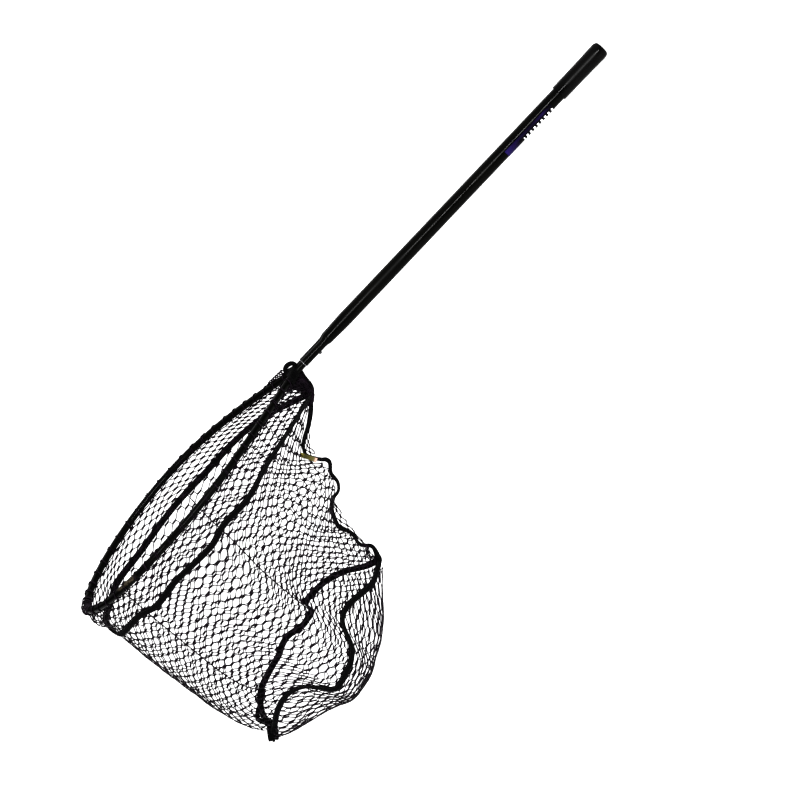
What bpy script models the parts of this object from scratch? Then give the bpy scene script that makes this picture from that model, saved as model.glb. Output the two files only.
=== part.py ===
"""Landing net: a tube handle with a flattened neck, a bent-tube hoop whose two ends plug into that
neck, and a net bag with taped seams that hangs under the hoop.

Metres, +Z up. The origin is the middle of the hand grip, on the handle's axis. The handle runs along
X with its butt towards +X, and the hoop lies ahead of it, towards -X. Along the net a place is given
as "ahead", its distance ahead of the neck's mouth. Round the net a place is given as a side, -1 for
-Y and +1 for +Y, and a station from 0 at the hoop's tip, through 1 at its widest, to 2 at the yoke.
"""

import math

import bmesh
import bpy
from mathutils import Vector

# Handle
NECK_X = -0.6973  # the mouth of the flattened neck
TUBE_END_X = 0.0495
TUBE_RADIUS = 0.0127
TUBE_WALL = 0.0009
NECK_HEIGHT = 0.0150
NECK_STRAIGHT = 0.048  # length of the flattened socket
NECK_STEEP = 0.062  # where the steep part of the taper ends
NECK_TAPER = 0.105  # where the tube is round again
STEEP_SHARE = 0.66  # of the taper's rise, done by the steep part
ROUND_FLAT = 0.0004  # the flat left between the two half rounds of a round section
GAP = 0.0003

# Grip
GRIP_LENGTH = 0.110
GRIP_FACE_RADIUS = 0.009

# Decal, ahead of the grip on the side facing -Y
DECAL_FROM_X = -0.193
DECAL_LENGTH = 0.114
DECAL_LOW, DECAL_HIGH = 176, 262  # degrees round the tube from +Y, down the -Y side

# Hoop
HOOP_RADIUS = 0.00635
HOOP_WALL = 0.0012
HOOP_TIP, HOOP_WIDE, HOOP_YOKE = 0.564, 0.325, 0.018  # ahead of the neck
HOOP_HALF_WIDTH = 0.213
HOOP_RISE, HOOP_DROOP = 0.036, 0.139  # how the hoop's plane lifts, then droops to the tip
SHANK_Y = 0.0075  # each shank's axis from the handle's
SHANK_DEPTH = 0.047  # how far the shanks reach into the neck
SHANK_BLEND = 0.006  # how gently the arms turn into the shanks

# Snap button in the -Y shank
BUTTON_AHEAD = -0.034  # its axis, inside the neck
BUTTON_RADIUS = 0.0030
BUTTON_HOLE_RADIUS = 0.0034
BUTTON_TOP_Z, BUTTON_TIP_Z = -0.0040, -0.0106

# Net bag: plan of each taped seam as (tip, wide, rear) ahead of the neck, and half width
SLEEVE_THICKNESS = 0.0010
NET_THICKNESS = 0.0020
TAPE_HEIGHT, TAPE_THICKNESS, TAPE_CLEARANCE = 0.0115, 0.0012, 0.0008
WALL_WIDE = 0.328
# Height of the two seams at stations from the tip to the yoke, down each side
UPPER_SEAM_NEAR = [(0, -0.074), (0.15, -0.084), (0.47, -0.069), (0.59, -0.073), (0.76, -0.062),
                   (1.0, -0.062), (1.13, -0.053), (1.32, -0.056), (1.54, -0.048), (2, -0.046)]
UPPER_SEAM_FAR = [(0, -0.074), (0.1, -0.064), (0.26, -0.064), (0.45, -0.055), (0.69, -0.056),
                  (0.94, -0.049), (1.22, -0.045), (1.46, -0.036), (1.69, -0.033), (2, -0.046)]
LOWER_SEAM_NEAR = [(0, -0.410), (0.28, -0.383), (0.47, -0.363), (0.62, -0.355), (0.71, -0.356),
                   (0.78, -0.371), (0.84, -0.398), (0.89, -0.406), (0.98, -0.398), (1.16, -0.372),
                   (1.26, -0.340), (1.35, -0.329), (1.5, -0.329), (1.8, -0.346), (2, -0.341)]
LOWER_SEAM_FAR = [(0, -0.410), (0.05, -0.388), (0.26, -0.374), (0.42, -0.362), (0.74, -0.351),
                  (0.95, -0.353), (1.04, -0.336), (1.12, -0.326), (1.43, -0.323), (1.7, -0.335),
                  (2, -0.341)]
# The bag's wall from the upper seam, 0, to the lower one, 1: where its tip and its rear are
WALL_TIP = [(0, 0.561), (0.3, 0.556), (0.55, 0.549), (0.75, 0.543), (0.9, 0.533), (1, 0.514)]
WALL_REAR = [(0, 0.026), (0.05, 0.048), (0.11, 0.078), (0.18, 0.106), (0.25, 0.115), (0.36, 0.099),
             (0.42, 0.103), (0.50, 0.120), (0.58, 0.150), (0.67, 0.162), (0.78, 0.158), (1, 0.161)]
WALL_HALF_WIDTH = [(0, 0.211), (0.3, 0.201), (0.6, 0.178), (1, 0.140)]
# The sagging floor's lowest line, as (ahead, height)
FLOOR_KEEL = [(0.165, -0.352), (0.200, -0.385), (0.228, -0.414), (0.272, -0.444), (0.355, -0.464),
              (0.430, -0.448), (0.485, -0.432), (0.514, -0.416)]
FLOOR_SAG_POWER = 2.2
# The tape down the rear seam, as (ahead, height)
REAR_TAPE = [(0.044, -0.064), (0.078, -0.080), (0.106, -0.096), (0.116, -0.108), (0.114, -0.125),
             (0.100, -0.144), (0.0945, -0.154), (0.104, -0.168), (0.114, -0.185), (0.127, -0.200),
             (0.148, -0.207), (0.158, -0.222), (0.163, -0.244), (0.158, -0.271), (0.163, -0.293),
             (0.158, -0.311), (0.161, -0.334)]
TAPE_FLARE = 0.0022  # how much further out the upper tape's top edge stands
TAPE_REACH = 0.02  # how far a tape's edge comes down or up the wall, as a share of its height
WALL_ROWS = [TAPE_REACH, 0.06, 0.12, 0.2, 0.32, 0.46, 0.6, 0.8, 1 - TAPE_REACH]
STATION_STEP = 0.07
LAST_STEP = 28  # the last station before the rear seam, in steps
SEAM_THREADS = {"front_wall_seam": 6, "middle_wall_seam": 15}  # on the +Y side, in steps
NEAR_PANEL_SPLIT = 8  # where the tip panel meets the -Y panel, in steps

ROUND_STEPS = 28
HOOP_STEPS = 12
SLEEVE_ENDS = 5  # points of the hoop's path at each end that the sleeve leaves bare


def world(ahead, y, z):
    return Vector((NECK_X - ahead, y, z))


def clear_scene():
    for obj in list(bpy.data.objects):
        bpy.data.objects.remove(obj, do_unlink=True)


def material(name, color, roughness, metallic=0.0):
    made = bpy.data.materials.new(name)
    made.use_nodes = True
    shader = made.node_tree.nodes["Principled BSDF"]
    shader.inputs["Base Color"].default_value = (*color, 1)
    shader.inputs["Roughness"].default_value = roughness
    shader.inputs["Metallic"].default_value = metallic
    return made


def curve_value(table, at):
    """The smooth curve through (position, value) pairs, read at a position."""
    if at <= table[0][0]:
        return table[0][1]
    if at >= table[-1][0]:
        return table[-1][1]
    i = max(k for k in range(len(table) - 1) if table[k][0] <= at)
    (x0, y0), (x1, y1) = table[i], table[i + 1]

    def slope(k):
        low, high = max(k - 1, 0), min(k + 1, len(table) - 1)
        return (table[high][1] - table[low][1]) / (table[high][0] - table[low][0])

    width, s = x1 - x0, (at - x0) / (x1 - x0)
    return ((2 * s**3 - 3 * s**2 + 1) * y0 + (s**3 - 2 * s**2 + s) * width * slope(i)
            + (3 * s**2 - 2 * s**3) * y1 + (s**3 - s**2) * width * slope(i + 1))


def smooth_step(s):
    s = min(max(s, 0), 1)
    return s * s * (3 - 2 * s)


# --- Mesh helpers ---------------------------------------------------------------------------------

def finish(name, mesh_builder, look, smooth=True):
    """An object from a bmesh, facing out, with its material."""
    bmesh.ops.recalc_face_normals(mesh_builder, faces=mesh_builder.faces)
    if mesh_builder.calc_volume(signed=True) < 0:
        bmesh.ops.reverse_faces(mesh_builder, faces=mesh_builder.faces)
    mesh = bpy.data.meshes.new(name)
    mesh_builder.to_mesh(mesh)
    mesh_builder.free()
    mesh.materials.append(look)
    if smooth:
        mesh.shade_smooth()
        mesh.set_sharp_from_angle(angle=math.radians(40))
    obj = bpy.data.objects.new(name, mesh)
    bpy.context.scene.collection.objects.link(obj)
    return obj


def lofted(name, rings, look, ends="caps", smooth=True):
    """Joins rings of equally many points. ends: caps fills both ends, closed joins the last to the first."""
    made = bmesh.new()
    rows = [[made.verts.new(p) for p in ring] for ring in rings]
    count = len(rows[0])
    pairs = list(zip(rows, rows[1:]))
    if ends == "closed":
        pairs.append((rows[-1], rows[0]))
    for low, high in pairs:
        for k in range(count):
            n = (k + 1) % count
            made.faces.new((low[k], low[n], high[n], high[k]))
    if ends == "caps":
        made.faces.new(rows[0])
        made.faces.new(rows[-1])
    return finish(name, made, look, smooth)


def turned(name, profile, look, centre=(0, 0, 0), along="X", steps=ROUND_STEPS):
    """Revolves an outline of (along, radius) points, whose ends lie on the axis or meet each other."""
    made = bmesh.new()
    columns = []
    for k in range(steps):
        angle = math.tau * k / steps
        across = (math.cos(angle), math.sin(angle))
        columns.append([turned_point(p, across, centre, along) for p in profile])
    corners = [[None] * len(profile) for _ in range(steps)]
    for i, (_, radius) in enumerate(profile):
        shared = made.verts.new(columns[0][i]) if radius == 0 else None
        for k in range(steps):
            corners[k][i] = shared or made.verts.new(columns[k][i])
    on_axis = profile[0][1] == 0
    count = len(profile) - 1 if on_axis else len(profile)
    for k in range(steps):
        a, b = corners[k], corners[(k + 1) % steps]
        for i in range(count):
            n = (i + 1) % len(profile)
            face = [a[i], a[n], b[n], b[i]]
            face = [v for j, v in enumerate(face) if v not in face[:j]]
            if len(face) > 2:
                made.faces.new(face)
    return finish(name, made, look)


def turned_point(point, across, centre, along):
    """A profile point turned to one angle about the X or the Z axis through centre."""
    length, radius = point
    if along == "X":
        offset = (length, radius * across[0], radius * across[1])
    else:
        offset = (radius * across[0], radius * across[1], length)
    return Vector(centre) + Vector(offset)


def round_ring(centre, side_way, up_way, radius, steps):
    return [centre + side_way * (radius * math.cos(math.tau * k / steps))
            + up_way * (radius * math.sin(math.tau * k / steps)) for k in range(steps)]


def path_frames(path, closed=False):
    """(point, sideways, up) along a path that never runs straight up."""
    frames = []
    for i, point in enumerate(path):
        before = path[i - 1] if i or closed else path[0]
        after = path[(i + 1) % len(path)] if i + 1 < len(path) or closed else path[-1]
        ahead = (after - before).normalized()
        side_way = ahead.cross(Vector((0, 0, 1))).normalized()
        frames.append((point, side_way, side_way.cross(ahead)))
    return frames


def shell(name, grid, thickness, look):
    """A sheet of even thickness about a grid of points, closed round its four edges."""
    rows, columns = len(grid), len(grid[0])

    def normal(i, j):
        down = grid[min(i + 1, rows - 1)][j] - grid[max(i - 1, 0)][j]
        over = grid[i][min(j + 1, columns - 1)] - grid[i][max(j - 1, 0)]
        return down.cross(over).normalized() * (thickness / 2)

    made = bmesh.new()
    faces = []
    for way in (1, -1):
        faces.append([[made.verts.new(grid[i][j] + normal(i, j) * way) for j in range(columns)]
                      for i in range(rows)])
    for side in faces:
        for i in range(rows - 1):
            for j in range(columns - 1):
                made.faces.new((side[i][j], side[i][j + 1], side[i + 1][j + 1], side[i + 1][j]))
    rim = ([(0, j) for j in range(columns)] + [(i, columns - 1) for i in range(1, rows)]
           + [(rows - 1, j) for j in range(columns - 2, -1, -1)] + [(i, 0) for i in range(rows - 2, 0, -1)])
    for (i, j), (m, n) in zip(rim, rim[1:] + rim[:1]):
        made.faces.new((faces[0][i][j], faces[0][m][n], faces[1][m][n], faces[1][i][j]))
    return finish(name, made, look)


def cut(obj, cutter):
    """Takes the cutter's shape out of an object."""
    cutter.hide_render = True
    cutter.display_type = "WIRE"
    modifier = obj.modifiers.new("cut_" + cutter.name, "BOOLEAN")
    modifier.operation = "DIFFERENCE"
    modifier.solver = "EXACT"
    modifier.object = cutter


# --- Handle ---------------------------------------------------------------------------------------

def stadium(x, height, flat, inset=0.0, steps=12):
    """Two half rounds joined by flats, across the handle at x."""
    radius = height / 2 - inset
    points = []
    for way in (1, -1):
        for k in range(steps + 1):
            angle = math.pi * k / steps - math.pi / 2
            points.append(Vector((x, way * (flat / 2 + radius * math.cos(angle)),
                                  way * radius * math.sin(angle))))
    return points


def neck_height(ahead):
    """The tube's height at a distance behind the neck's mouth: flat socket, steep taper, gentle taper."""
    rise = 2 * TUBE_RADIUS - NECK_HEIGHT
    steep = smooth_step((ahead - NECK_STRAIGHT) / (NECK_STEEP - NECK_STRAIGHT))
    gentle = smooth_step((ahead - NECK_STEEP) / (NECK_TAPER - NECK_STEEP))
    return NECK_HEIGHT + rise * (STEEP_SHARE * steep + (1 - STEEP_SHARE) * gentle)


def handle_sections(inset):
    """The handle's cross-sections. Flattening keeps the tube's girth, so its flats follow its height."""
    places = [0, 0.024, 0.048, 0.0515, 0.055, 0.0585, 0.062, 0.072, 0.083, 0.094, 0.105, 0.30, 0.52]
    girth = math.tau * TUBE_RADIUS
    sections = []
    for place in places + [TUBE_END_X - NECK_X]:
        height = neck_height(place)
        flat = max((girth - math.pi * height) / 2, ROUND_FLAT)
        sections.append(stadium(NECK_X + place, height, flat, inset))
    return sections


def button_slot_cutter():
    """The button's hole in the neck, run out to the mouth so that the shanks can be drawn."""
    made = bmesh.new()
    hole_x, steps = NECK_X - BUTTON_AHEAD, 10
    outline = []
    for k in range(steps + 1):
        angle = math.pi * k / steps - math.pi / 2
        outline.append((hole_x + BUTTON_HOLE_RADIUS * math.cos(angle),
                        -SHANK_Y + BUTTON_HOLE_RADIUS * math.sin(angle)))
    outline += [(NECK_X - 0.004, -SHANK_Y + BUTTON_HOLE_RADIUS),
                (NECK_X - 0.004, -SHANK_Y - BUTTON_HOLE_RADIUS)]
    bottom = made.faces.new([made.verts.new((x, y, -NECK_HEIGHT)) for x, y in outline])
    top = bmesh.ops.extrude_face_region(made, geom=[bottom])
    raised = [v for v in top["geom"] if isinstance(v, bmesh.types.BMVert)]
    bmesh.ops.translate(made, verts=raised, vec=(0, 0, NECK_HEIGHT - 0.005))
    return finish("button_slot_cutter", made, bpy.data.materials["handle_black"], smooth=False)


def build_handle():
    anodised = material("handle_black", (0.012, 0.012, 0.013), 0.32, 0.6)
    rings = handle_sections(0) + handle_sections(TUBE_WALL)[::-1]
    handle = lofted("handle_tube", rings, anodised, "closed")
    cut(handle, button_slot_cutter())

    vinyl = material("grip_vinyl", (0.008, 0.008, 0.009), 0.18)
    front, back = -GRIP_LENGTH / 2, GRIP_LENGTH / 2
    bore = TUBE_RADIUS + GAP
    turned("handle_grip", [
        (back - 0.0028, 0), (back - 0.0028, bore), (front, bore), (front, 0.0143), (front + 0.0010, 0.0149),
        (front + 0.012, 0.0150), (0.008, 0.0152), (0.032, 0.0156), (0.044, 0.0161), (0.0485, 0.0160),
        (0.0520, 0.0147), (0.0540, 0.0123), (back, GRIP_FACE_RADIUS), (back, 0)], vinyl)

    plastic = material("plug_plastic", (0.02, 0.02, 0.02), 0.5)
    inner = TUBE_RADIUS - TUBE_WALL - GAP
    plug_end = TUBE_END_X + GAP + 0.0018
    turned("butt_plug", [
        (plug_end, 0), (plug_end, TUBE_RADIUS - GAP), (TUBE_END_X + GAP, TUBE_RADIUS - GAP),
        (TUBE_END_X + GAP, inner), (TUBE_END_X - 0.012, inner - GAP), (TUBE_END_X - 0.013, inner - 0.001),
        (TUBE_END_X - 0.013, 0)], plastic)


def build_decal():
    """A plain strip of film round part of the tube."""
    film = material("decal_blue", (0.06, 0.06, 0.28), 0.35)
    low, high = math.radians(DECAL_LOW), math.radians(DECAL_HIGH)
    radius, thickness, steps = TUBE_RADIUS + GAP + 0.0001, 0.0002, 9
    grid = []
    for x in (DECAL_FROM_X, DECAL_FROM_X + DECAL_LENGTH):
        angles = [low + (high - low) * k / steps for k in range(steps + 1)]
        grid.append([Vector((x, radius * math.cos(a), radius * math.sin(a))) for a in angles])
    shell("handle_decal", grid, thickness, film)


# --- Hoop -----------------------------------------------------------------------------------------

def plan(tip, wide, rear, half_width, side, station):
    """(ahead, y) on an outline that is a half ellipse at the tip and draws in along a cosine to the rear."""
    if station <= 1:
        angle = station * math.pi / 2
        return wide + (tip - wide) * math.cos(angle), side * half_width * math.sin(angle)
    return (wide + (rear - wide) * (station - 1),
            side * half_width * math.cos((station - 1) * math.pi / 2))


def hoop_height(ahead):
    beyond = max(ahead - HOOP_YOKE, 0)
    return HOOP_RISE * beyond - HOOP_DROOP * beyond**2


def hoop_point(side, station):
    ahead, y = plan(HOOP_TIP, HOOP_WIDE, HOOP_YOKE, HOOP_HALF_WIDTH, side, station)
    if station > 1:
        over = (abs(y) * (1 if station <= 2 else -1) - SHANK_Y) / SHANK_BLEND
        y = side * (SHANK_Y + SHANK_BLEND * math.log1p(math.exp(over)))
    return world(ahead, y, hoop_height(ahead))


def hoop_path():
    """The tube's centre line, from the end of the -Y shank round the hoop to the end of the +Y one."""
    bend = [1.9, 1.95, 2, 2.05, 2.1]
    arm = [k / 10 for k in range(1, 19)] + bend
    near, far = ([hoop_point(side, s) for s in arm] for side in (-1, 1))
    near_shank, far_shank = ([world(-SHANK_DEPTH, side * SHANK_Y, 0)] for side in (-1, 1))
    return near_shank + near[::-1] + [hoop_point(1, 0)] + far + far_shank


def build_hoop():
    """The bent tube, hollow from one shank's end to the other's."""
    anodised = material("hoop_black", (0.015, 0.015, 0.016), 0.35, 0.6)
    frames = path_frames(hoop_path())
    rings = [round_ring(p, s, u, HOOP_RADIUS, HOOP_STEPS) for p, s, u in frames]
    rings += [round_ring(p, s, u, HOOP_RADIUS - HOOP_WALL, HOOP_STEPS) for p, s, u in frames[::-1]]
    hoop = lofted("hoop_tube", rings, anodised, "closed")
    low, high = -0.009, -0.001
    hole = turned("button_hole_cutter", [
        (low, 0), (low, BUTTON_HOLE_RADIUS), (high, BUTTON_HOLE_RADIUS), (high, 0)],
        anodised, centre=(NECK_X - BUTTON_AHEAD, -SHANK_Y, 0), along="Z", steps=20)
    cut(hoop, hole)


def build_button():
    steel = material("button_steel", (0.55, 0.56, 0.58), 0.3, 1.0)
    tip, top, radius = BUTTON_TIP_Z, BUTTON_TOP_Z, BUTTON_RADIUS
    centre = (NECK_X - BUTTON_AHEAD, -SHANK_Y, 0)
    turned("snap_button", [
        (top, 0), (top, radius), (tip + 0.0012, radius), (tip + 0.0005, radius - 0.0006),
        (tip, radius - 0.0016), (tip, 0)], steel, centre=centre, along="Z", steps=20)

    # A folded strip: one leg along the roof of the bore, the other down to the button's top.
    fold_x, end_x = NECK_X + 0.004, NECK_X - BUTTON_AHEAD + 0.0025
    roof, low = 0.0041, BUTTON_TOP_Z + GAP + 0.0002
    line = [(end_x, roof), (fold_x + 0.004, roof), (fold_x + 0.0012, roof - 0.0012), (fold_x, roof - 0.0035),
            (fold_x + 0.002, roof - 0.0056), (end_x - 0.010, low), (end_x, low)]
    half, leaf = 0.0019, 0.00018
    rings = []
    for i, (x, z) in enumerate(line):
        before, after = line[max(i - 1, 0)], line[min(i + 1, len(line) - 1)]
        run = Vector((after[0] - before[0], 0, after[1] - before[1])).normalized()
        off = Vector((-run.z, 0, run.x)) * leaf
        point = Vector((x, -SHANK_Y, z))
        across = Vector((0, half, 0))
        rings.append([point + off + across, point + off - across, point - off - across, point - off + across])
    lofted("button_spring", rings, steel, smooth=False)


# --- Net bag --------------------------------------------------------------------------------------

def wall_plan(depth, side, station):
    return plan(curve_value(WALL_TIP, depth), WALL_WIDE, curve_value(WALL_REAR, depth),
                curve_value(WALL_HALF_WIDTH, depth), side, station)


def wall_point(side, station, depth, outward=0.0, lift=0.0):
    """A point of the bag's wall, depth 0 at the upper seam and 1 at the lower one, moved out and up."""
    tables = (UPPER_SEAM_NEAR, LOWER_SEAM_NEAR) if side < 0 else (UPPER_SEAM_FAR, LOWER_SEAM_FAR)
    top, bottom = (curve_value(table, station) for table in tables)
    ahead, y = wall_plan(depth, side, station)
    point = world(ahead, y, top + (bottom - top) * depth + lift)
    if outward:
        point += wall_normal(side, station, depth) * outward
    return point


def wall_normal(side, station, depth):
    """The wall's outward direction at a point."""
    low, high = max(depth - 0.01, 0), min(depth + 0.01, 1)
    before, after = max(station - 0.01, 0), min(station + 0.01, 2)
    down = wall_point(side, station, high) - wall_point(side, station, low)
    over = wall_point(side, after, depth) - wall_point(side, before, depth)
    return down.cross(over).normalized() * -side


def band_point(side, station, depth):
    """A point of the band between the hoop's sleeve and the upper seam."""
    top, bottom = hoop_point(side, min(station, 2)), wall_point(side, station, 0)
    top.z -= HOOP_RADIUS + GAP + SLEEVE_THICKNESS + GAP + NET_THICKNESS / 2
    bottom.z += GAP
    return top.lerp(bottom, depth)


def spread(low, high, count):
    return [low + (high - low) * k / count for k in range(count + 1)]


def stretch(side, first, last, trim=0.0):
    """(side, station) pairs from one step to another, its two ends trimmed."""
    way = 1 if last > first else -1
    stations = [k * STATION_STEP for k in range(first, last + way, way)]
    stations[0] += way * trim
    stations[-1] -= way * trim
    return [(side, station) for station in stations]


def build_sleeve(netting):
    """The net's top hem, a sleeve round the hoop, open where the arms meet at the yoke."""
    frames = path_frames(hoop_path())[SLEEVE_ENDS:-SLEEVE_ENDS]
    inner, outer = HOOP_RADIUS + GAP, HOOP_RADIUS + GAP + SLEEVE_THICKNESS
    rings = [round_ring(p, s, u, outer, HOOP_STEPS) for p, s, u in frames]
    rings += [round_ring(p, s, u, inner, HOOP_STEPS) for p, s, u in frames[::-1]]
    lofted("hoop_sleeve", rings, netting, "closed")


def build_netting(netting):
    trim, rim = 0.006, 0.004  # what a panel leaves clear at its ends, in stations, and at its rims
    for side, name in ((-1, "upper_net_near"), (1, "upper_net_far")):
        places = stretch(side, 0, LAST_STEP - 1, trim)
        grid = [[band_point(way, station, depth) for way, station in places] for depth in (0, 0.5, 1)]
        shell(name, grid, NET_THICKNESS, netting)

    front, middle = SEAM_THREADS.values()
    panels = {
        "side_net_tip": stretch(1, front, 0, trim)[:-1] + [(1, 0)] + stretch(-1, 0, NEAR_PANEL_SPLIT, trim)[1:],
        "side_net_near": stretch(-1, NEAR_PANEL_SPLIT, LAST_STEP, trim),
        "side_net_far_front": stretch(1, front, middle, trim),
        "side_net_far_rear": stretch(1, middle, LAST_STEP, trim),
    }
    for name, places in panels.items():
        grid = [[wall_point(side, station, depth) for side, station in places]
                for depth in [rim] + WALL_ROWS + [1 - rim]]
        shell(name, grid, NET_THICKNESS, netting)


def floor_point(station, across):
    """A point of the sagging floor: across runs from -1 at the -Y seam to +1 at the +Y one."""
    near, far = wall_point(-1, station, 1), wall_point(1, station, 1)
    middle = (near.z + far.z) / 2
    rim = near.z + (far.z - near.z) * (across + 1) / 2
    lowest = min(curve_value(FLOOR_KEEL, NECK_X - near.x), middle - 0.004)
    sag = (lowest - middle) * (1 - abs(across) ** FLOOR_SAG_POWER)
    return Vector((near.x, near.y + (far.y - near.y) * (across + 1) / 2, rim + sag))


def build_floor(netting):
    clear_below_wall = Vector((0, 0, -0.0012))
    grid = [[floor_point(k * STATION_STEP, across) + clear_below_wall for across in spread(-0.965, 0.965, 10)]
            for k in [1.5] + list(range(3, LAST_STEP)) + [LAST_STEP - 0.4]]
    shell("bottom_net", grid, NET_THICKNESS, netting)


def build_tapes(tape):
    """The two binding tapes, each a band lying on the wall across its seam."""
    outward = NET_THICKNESS / 2 + TAPE_CLEARANCE + TAPE_THICKNESS / 2
    half = TAPE_HEIGHT / 2
    places = stretch(-1, LAST_STEP, 0) + stretch(1, 0, LAST_STEP)[1:]
    bands = {
        "upper_binding_tape": ((0, half, TAPE_FLARE), (0, 0, 0), (TAPE_REACH, 0, 0)),
        "lower_binding_tape": ((1 - TAPE_REACH, 0, 0), (1, 0, 0), (1, -half, 0)),
    }
    for name, rows in bands.items():
        grid = [[wall_point(*place, depth, outward + flare, lift) for place in places]
                for depth, lift, flare in rows]
        shell(name, grid, TAPE_THICKNESS, tape)


def build_seams(thread):
    """The thin lacings that join the panels of the +Y wall."""
    for name, step in SEAM_THREADS.items():
        rings = [round_ring(wall_point(1, step * STATION_STEP, depth), Vector((1, 0, 0)), Vector((0, 1, 0)),
                            0.0006, 6) for depth in WALL_ROWS]
        lofted(name, rings, thread)


def build_rear_tape(tape):
    """The tape down the rear seam, its width across the seam."""
    steps = len(REAR_TAPE) * 2 - 2
    count = len(REAR_TAPE) - 1
    ahead_table = [(i / count, a) for i, (a, _) in enumerate(REAR_TAPE)]
    height_table = [(i / count, z) for i, (_, z) in enumerate(REAR_TAPE)]
    path = [world(curve_value(ahead_table, s) - 0.0035, 0, curve_value(height_table, s))
            for s in spread(0, 1, steps)]
    rings = []
    for i, point in enumerate(path):
        run = (path[min(i + 1, steps)] - path[max(i - 1, 0)]).normalized()
        off = Vector((-run.z, 0, run.x)) * 0.0014
        across = Vector((0, 0.0042, 0))
        rings.append([point + off + across, point + off - across, point - off - across, point - off + across])
    lofted("rear_seam_tape", rings, tape, smooth=False)


def bundle(name, stations, look, steps=10):
    """A soft lump lofted through (x, z, half length, half width) ellipses, from top to bottom."""
    rings = []
    for x, z, half_length, half_width in stations:
        rings.append([Vector((x + half_length * math.cos(math.tau * k / steps),
                              half_width * math.sin(math.tau * k / steps), z)) for k in range(steps)])
    return lofted(name, rings, look)


def build_yoke(tape):
    """What gathers the net at the yoke: the tie round both shanks, its loop on top, the bundle below."""
    tie_x, width = NECK_X - 0.0145, 0.009
    inner, outer = HOOP_RADIUS + GAP, HOOP_RADIUS + GAP + 0.0022
    rings = []
    for x, radius in ((tie_x - width / 2, outer), (tie_x + width / 2, outer),
                      (tie_x + width / 2, inner), (tie_x - width / 2, inner)):
        rings.append(stadium(x, 2 * radius, 2 * (SHANK_Y + 0.0026), steps=8))
    lofted("neck_tie", rings, tape, "closed")

    centre, reach = world(0.0195, -0.001, outer + GAP + 0.0026), (0.0105, 0.0085)
    arch = []
    for k in range(15):
        angle = math.pi * (k / 14)
        arch.append(centre + Vector((-reach[0] * math.cos(angle), 0, reach[1] * math.sin(angle))))
    rings = []
    for i, point in enumerate(arch):
        run = (arch[min(i + 1, 14)] - arch[max(i - 1, 0)]).normalized()
        rings.append(round_ring(point, Vector((0, 1, 0)), run.cross(Vector((0, 1, 0))), 0.0026, 8))
    lofted("tie_loop", rings, tape)

    bundle("gathered_corner", [
        (NECK_X - 0.0230, -0.0093, 0.009, 0.0050), (NECK_X - 0.0240, -0.015, 0.0115, 0.0075),
        (NECK_X - 0.0270, -0.027, 0.0115, 0.0085), (NECK_X - 0.0290, -0.040, 0.0120, 0.0080),
        (NECK_X - 0.0350, -0.052, 0.0100, 0.0060), (NECK_X - 0.0400, -0.058, 0.0060, 0.0040)], tape)


def build_tape_fold(tape):
    """The folded ends of the lower tape, where they overlap at the tip."""
    x = NECK_X - curve_value(WALL_TIP, 1)
    bundle("lower_tape_fold", [
        (x - 0.0118, -0.3965, 0.0016, 0.0030), (x - 0.0108, -0.4010, 0.0024, 0.0052),
        (x - 0.0092, -0.4120, 0.0030, 0.0060), (x - 0.0070, -0.4200, 0.0020, 0.0040)], tape, steps=8)


def build_label():
    """The blank label sewn to the rear seam."""
    label = material("label_olive", (0.35, 0.33, 0.10), 0.6)
    top, bottom = world(0.1185, -0.0062, -0.1075), world(0.1065, -0.0062, -0.1345)
    run = (bottom - top).normalized()
    wide = Vector((-run.z, 0, run.x)) * 0.0045
    thin = Vector((0, 0.0004, 0))
    rings = []
    for share in (0, 0.25, 0.5, 0.75, 1):
        point = top.lerp(bottom, share)
        rings.append([point + wide + thin, point + wide - thin, point - wide - thin, point - wide + thin])
    lofted("sewn_label", rings, label, smooth=False)


def build():
    clear_scene()
    build_handle()
    build_decal()
    build_hoop()
    build_button()
    netting = material("netting_black", (0.012, 0.011, 0.013), 0.45)
    tape = material("tape_black", (0.010, 0.010, 0.011), 0.75)
    thread = material("thread_black", (0.015, 0.014, 0.016), 0.6)
    build_sleeve(netting)
    build_netting(netting)
    build_floor(netting)
    build_tapes(tape)
    build_seams(thread)
    build_rear_tape(tape)
    build_yoke(tape)
    build_tape_fold(tape)
    build_label()


build()
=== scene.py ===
"""The looks of a landing net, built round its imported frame. Metres, +Z up.

The origin is the middle of the grip. The handle runs along X and the hoop lies ahead of it, towards -X.
"ahead" is a distance ahead of the neck's mouth. Round the net a place is "about": from -2 at the yoke
down the -Y side, through -1 at the widest and 0 at the tip, to +2 at the yoke again on the +Y side.
"""

import math

import bmesh
import bpy
import numpy as np
from mathutils import Matrix, Vector


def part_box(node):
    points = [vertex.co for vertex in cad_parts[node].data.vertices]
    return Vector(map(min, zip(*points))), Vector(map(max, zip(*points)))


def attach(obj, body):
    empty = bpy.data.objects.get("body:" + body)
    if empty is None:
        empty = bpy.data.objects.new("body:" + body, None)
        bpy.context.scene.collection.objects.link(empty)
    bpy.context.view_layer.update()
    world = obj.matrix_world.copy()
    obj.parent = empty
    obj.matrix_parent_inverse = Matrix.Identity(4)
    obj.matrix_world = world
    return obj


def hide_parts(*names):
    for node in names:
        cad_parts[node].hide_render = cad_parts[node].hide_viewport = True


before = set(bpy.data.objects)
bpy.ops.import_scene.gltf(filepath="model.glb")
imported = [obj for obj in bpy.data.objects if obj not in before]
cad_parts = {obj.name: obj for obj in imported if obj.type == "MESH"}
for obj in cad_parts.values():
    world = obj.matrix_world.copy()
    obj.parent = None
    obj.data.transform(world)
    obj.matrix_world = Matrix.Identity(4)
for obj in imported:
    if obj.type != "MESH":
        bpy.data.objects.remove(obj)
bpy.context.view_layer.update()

# --- Sizes that the frame is built to ---------------------------------------------------------------

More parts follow.
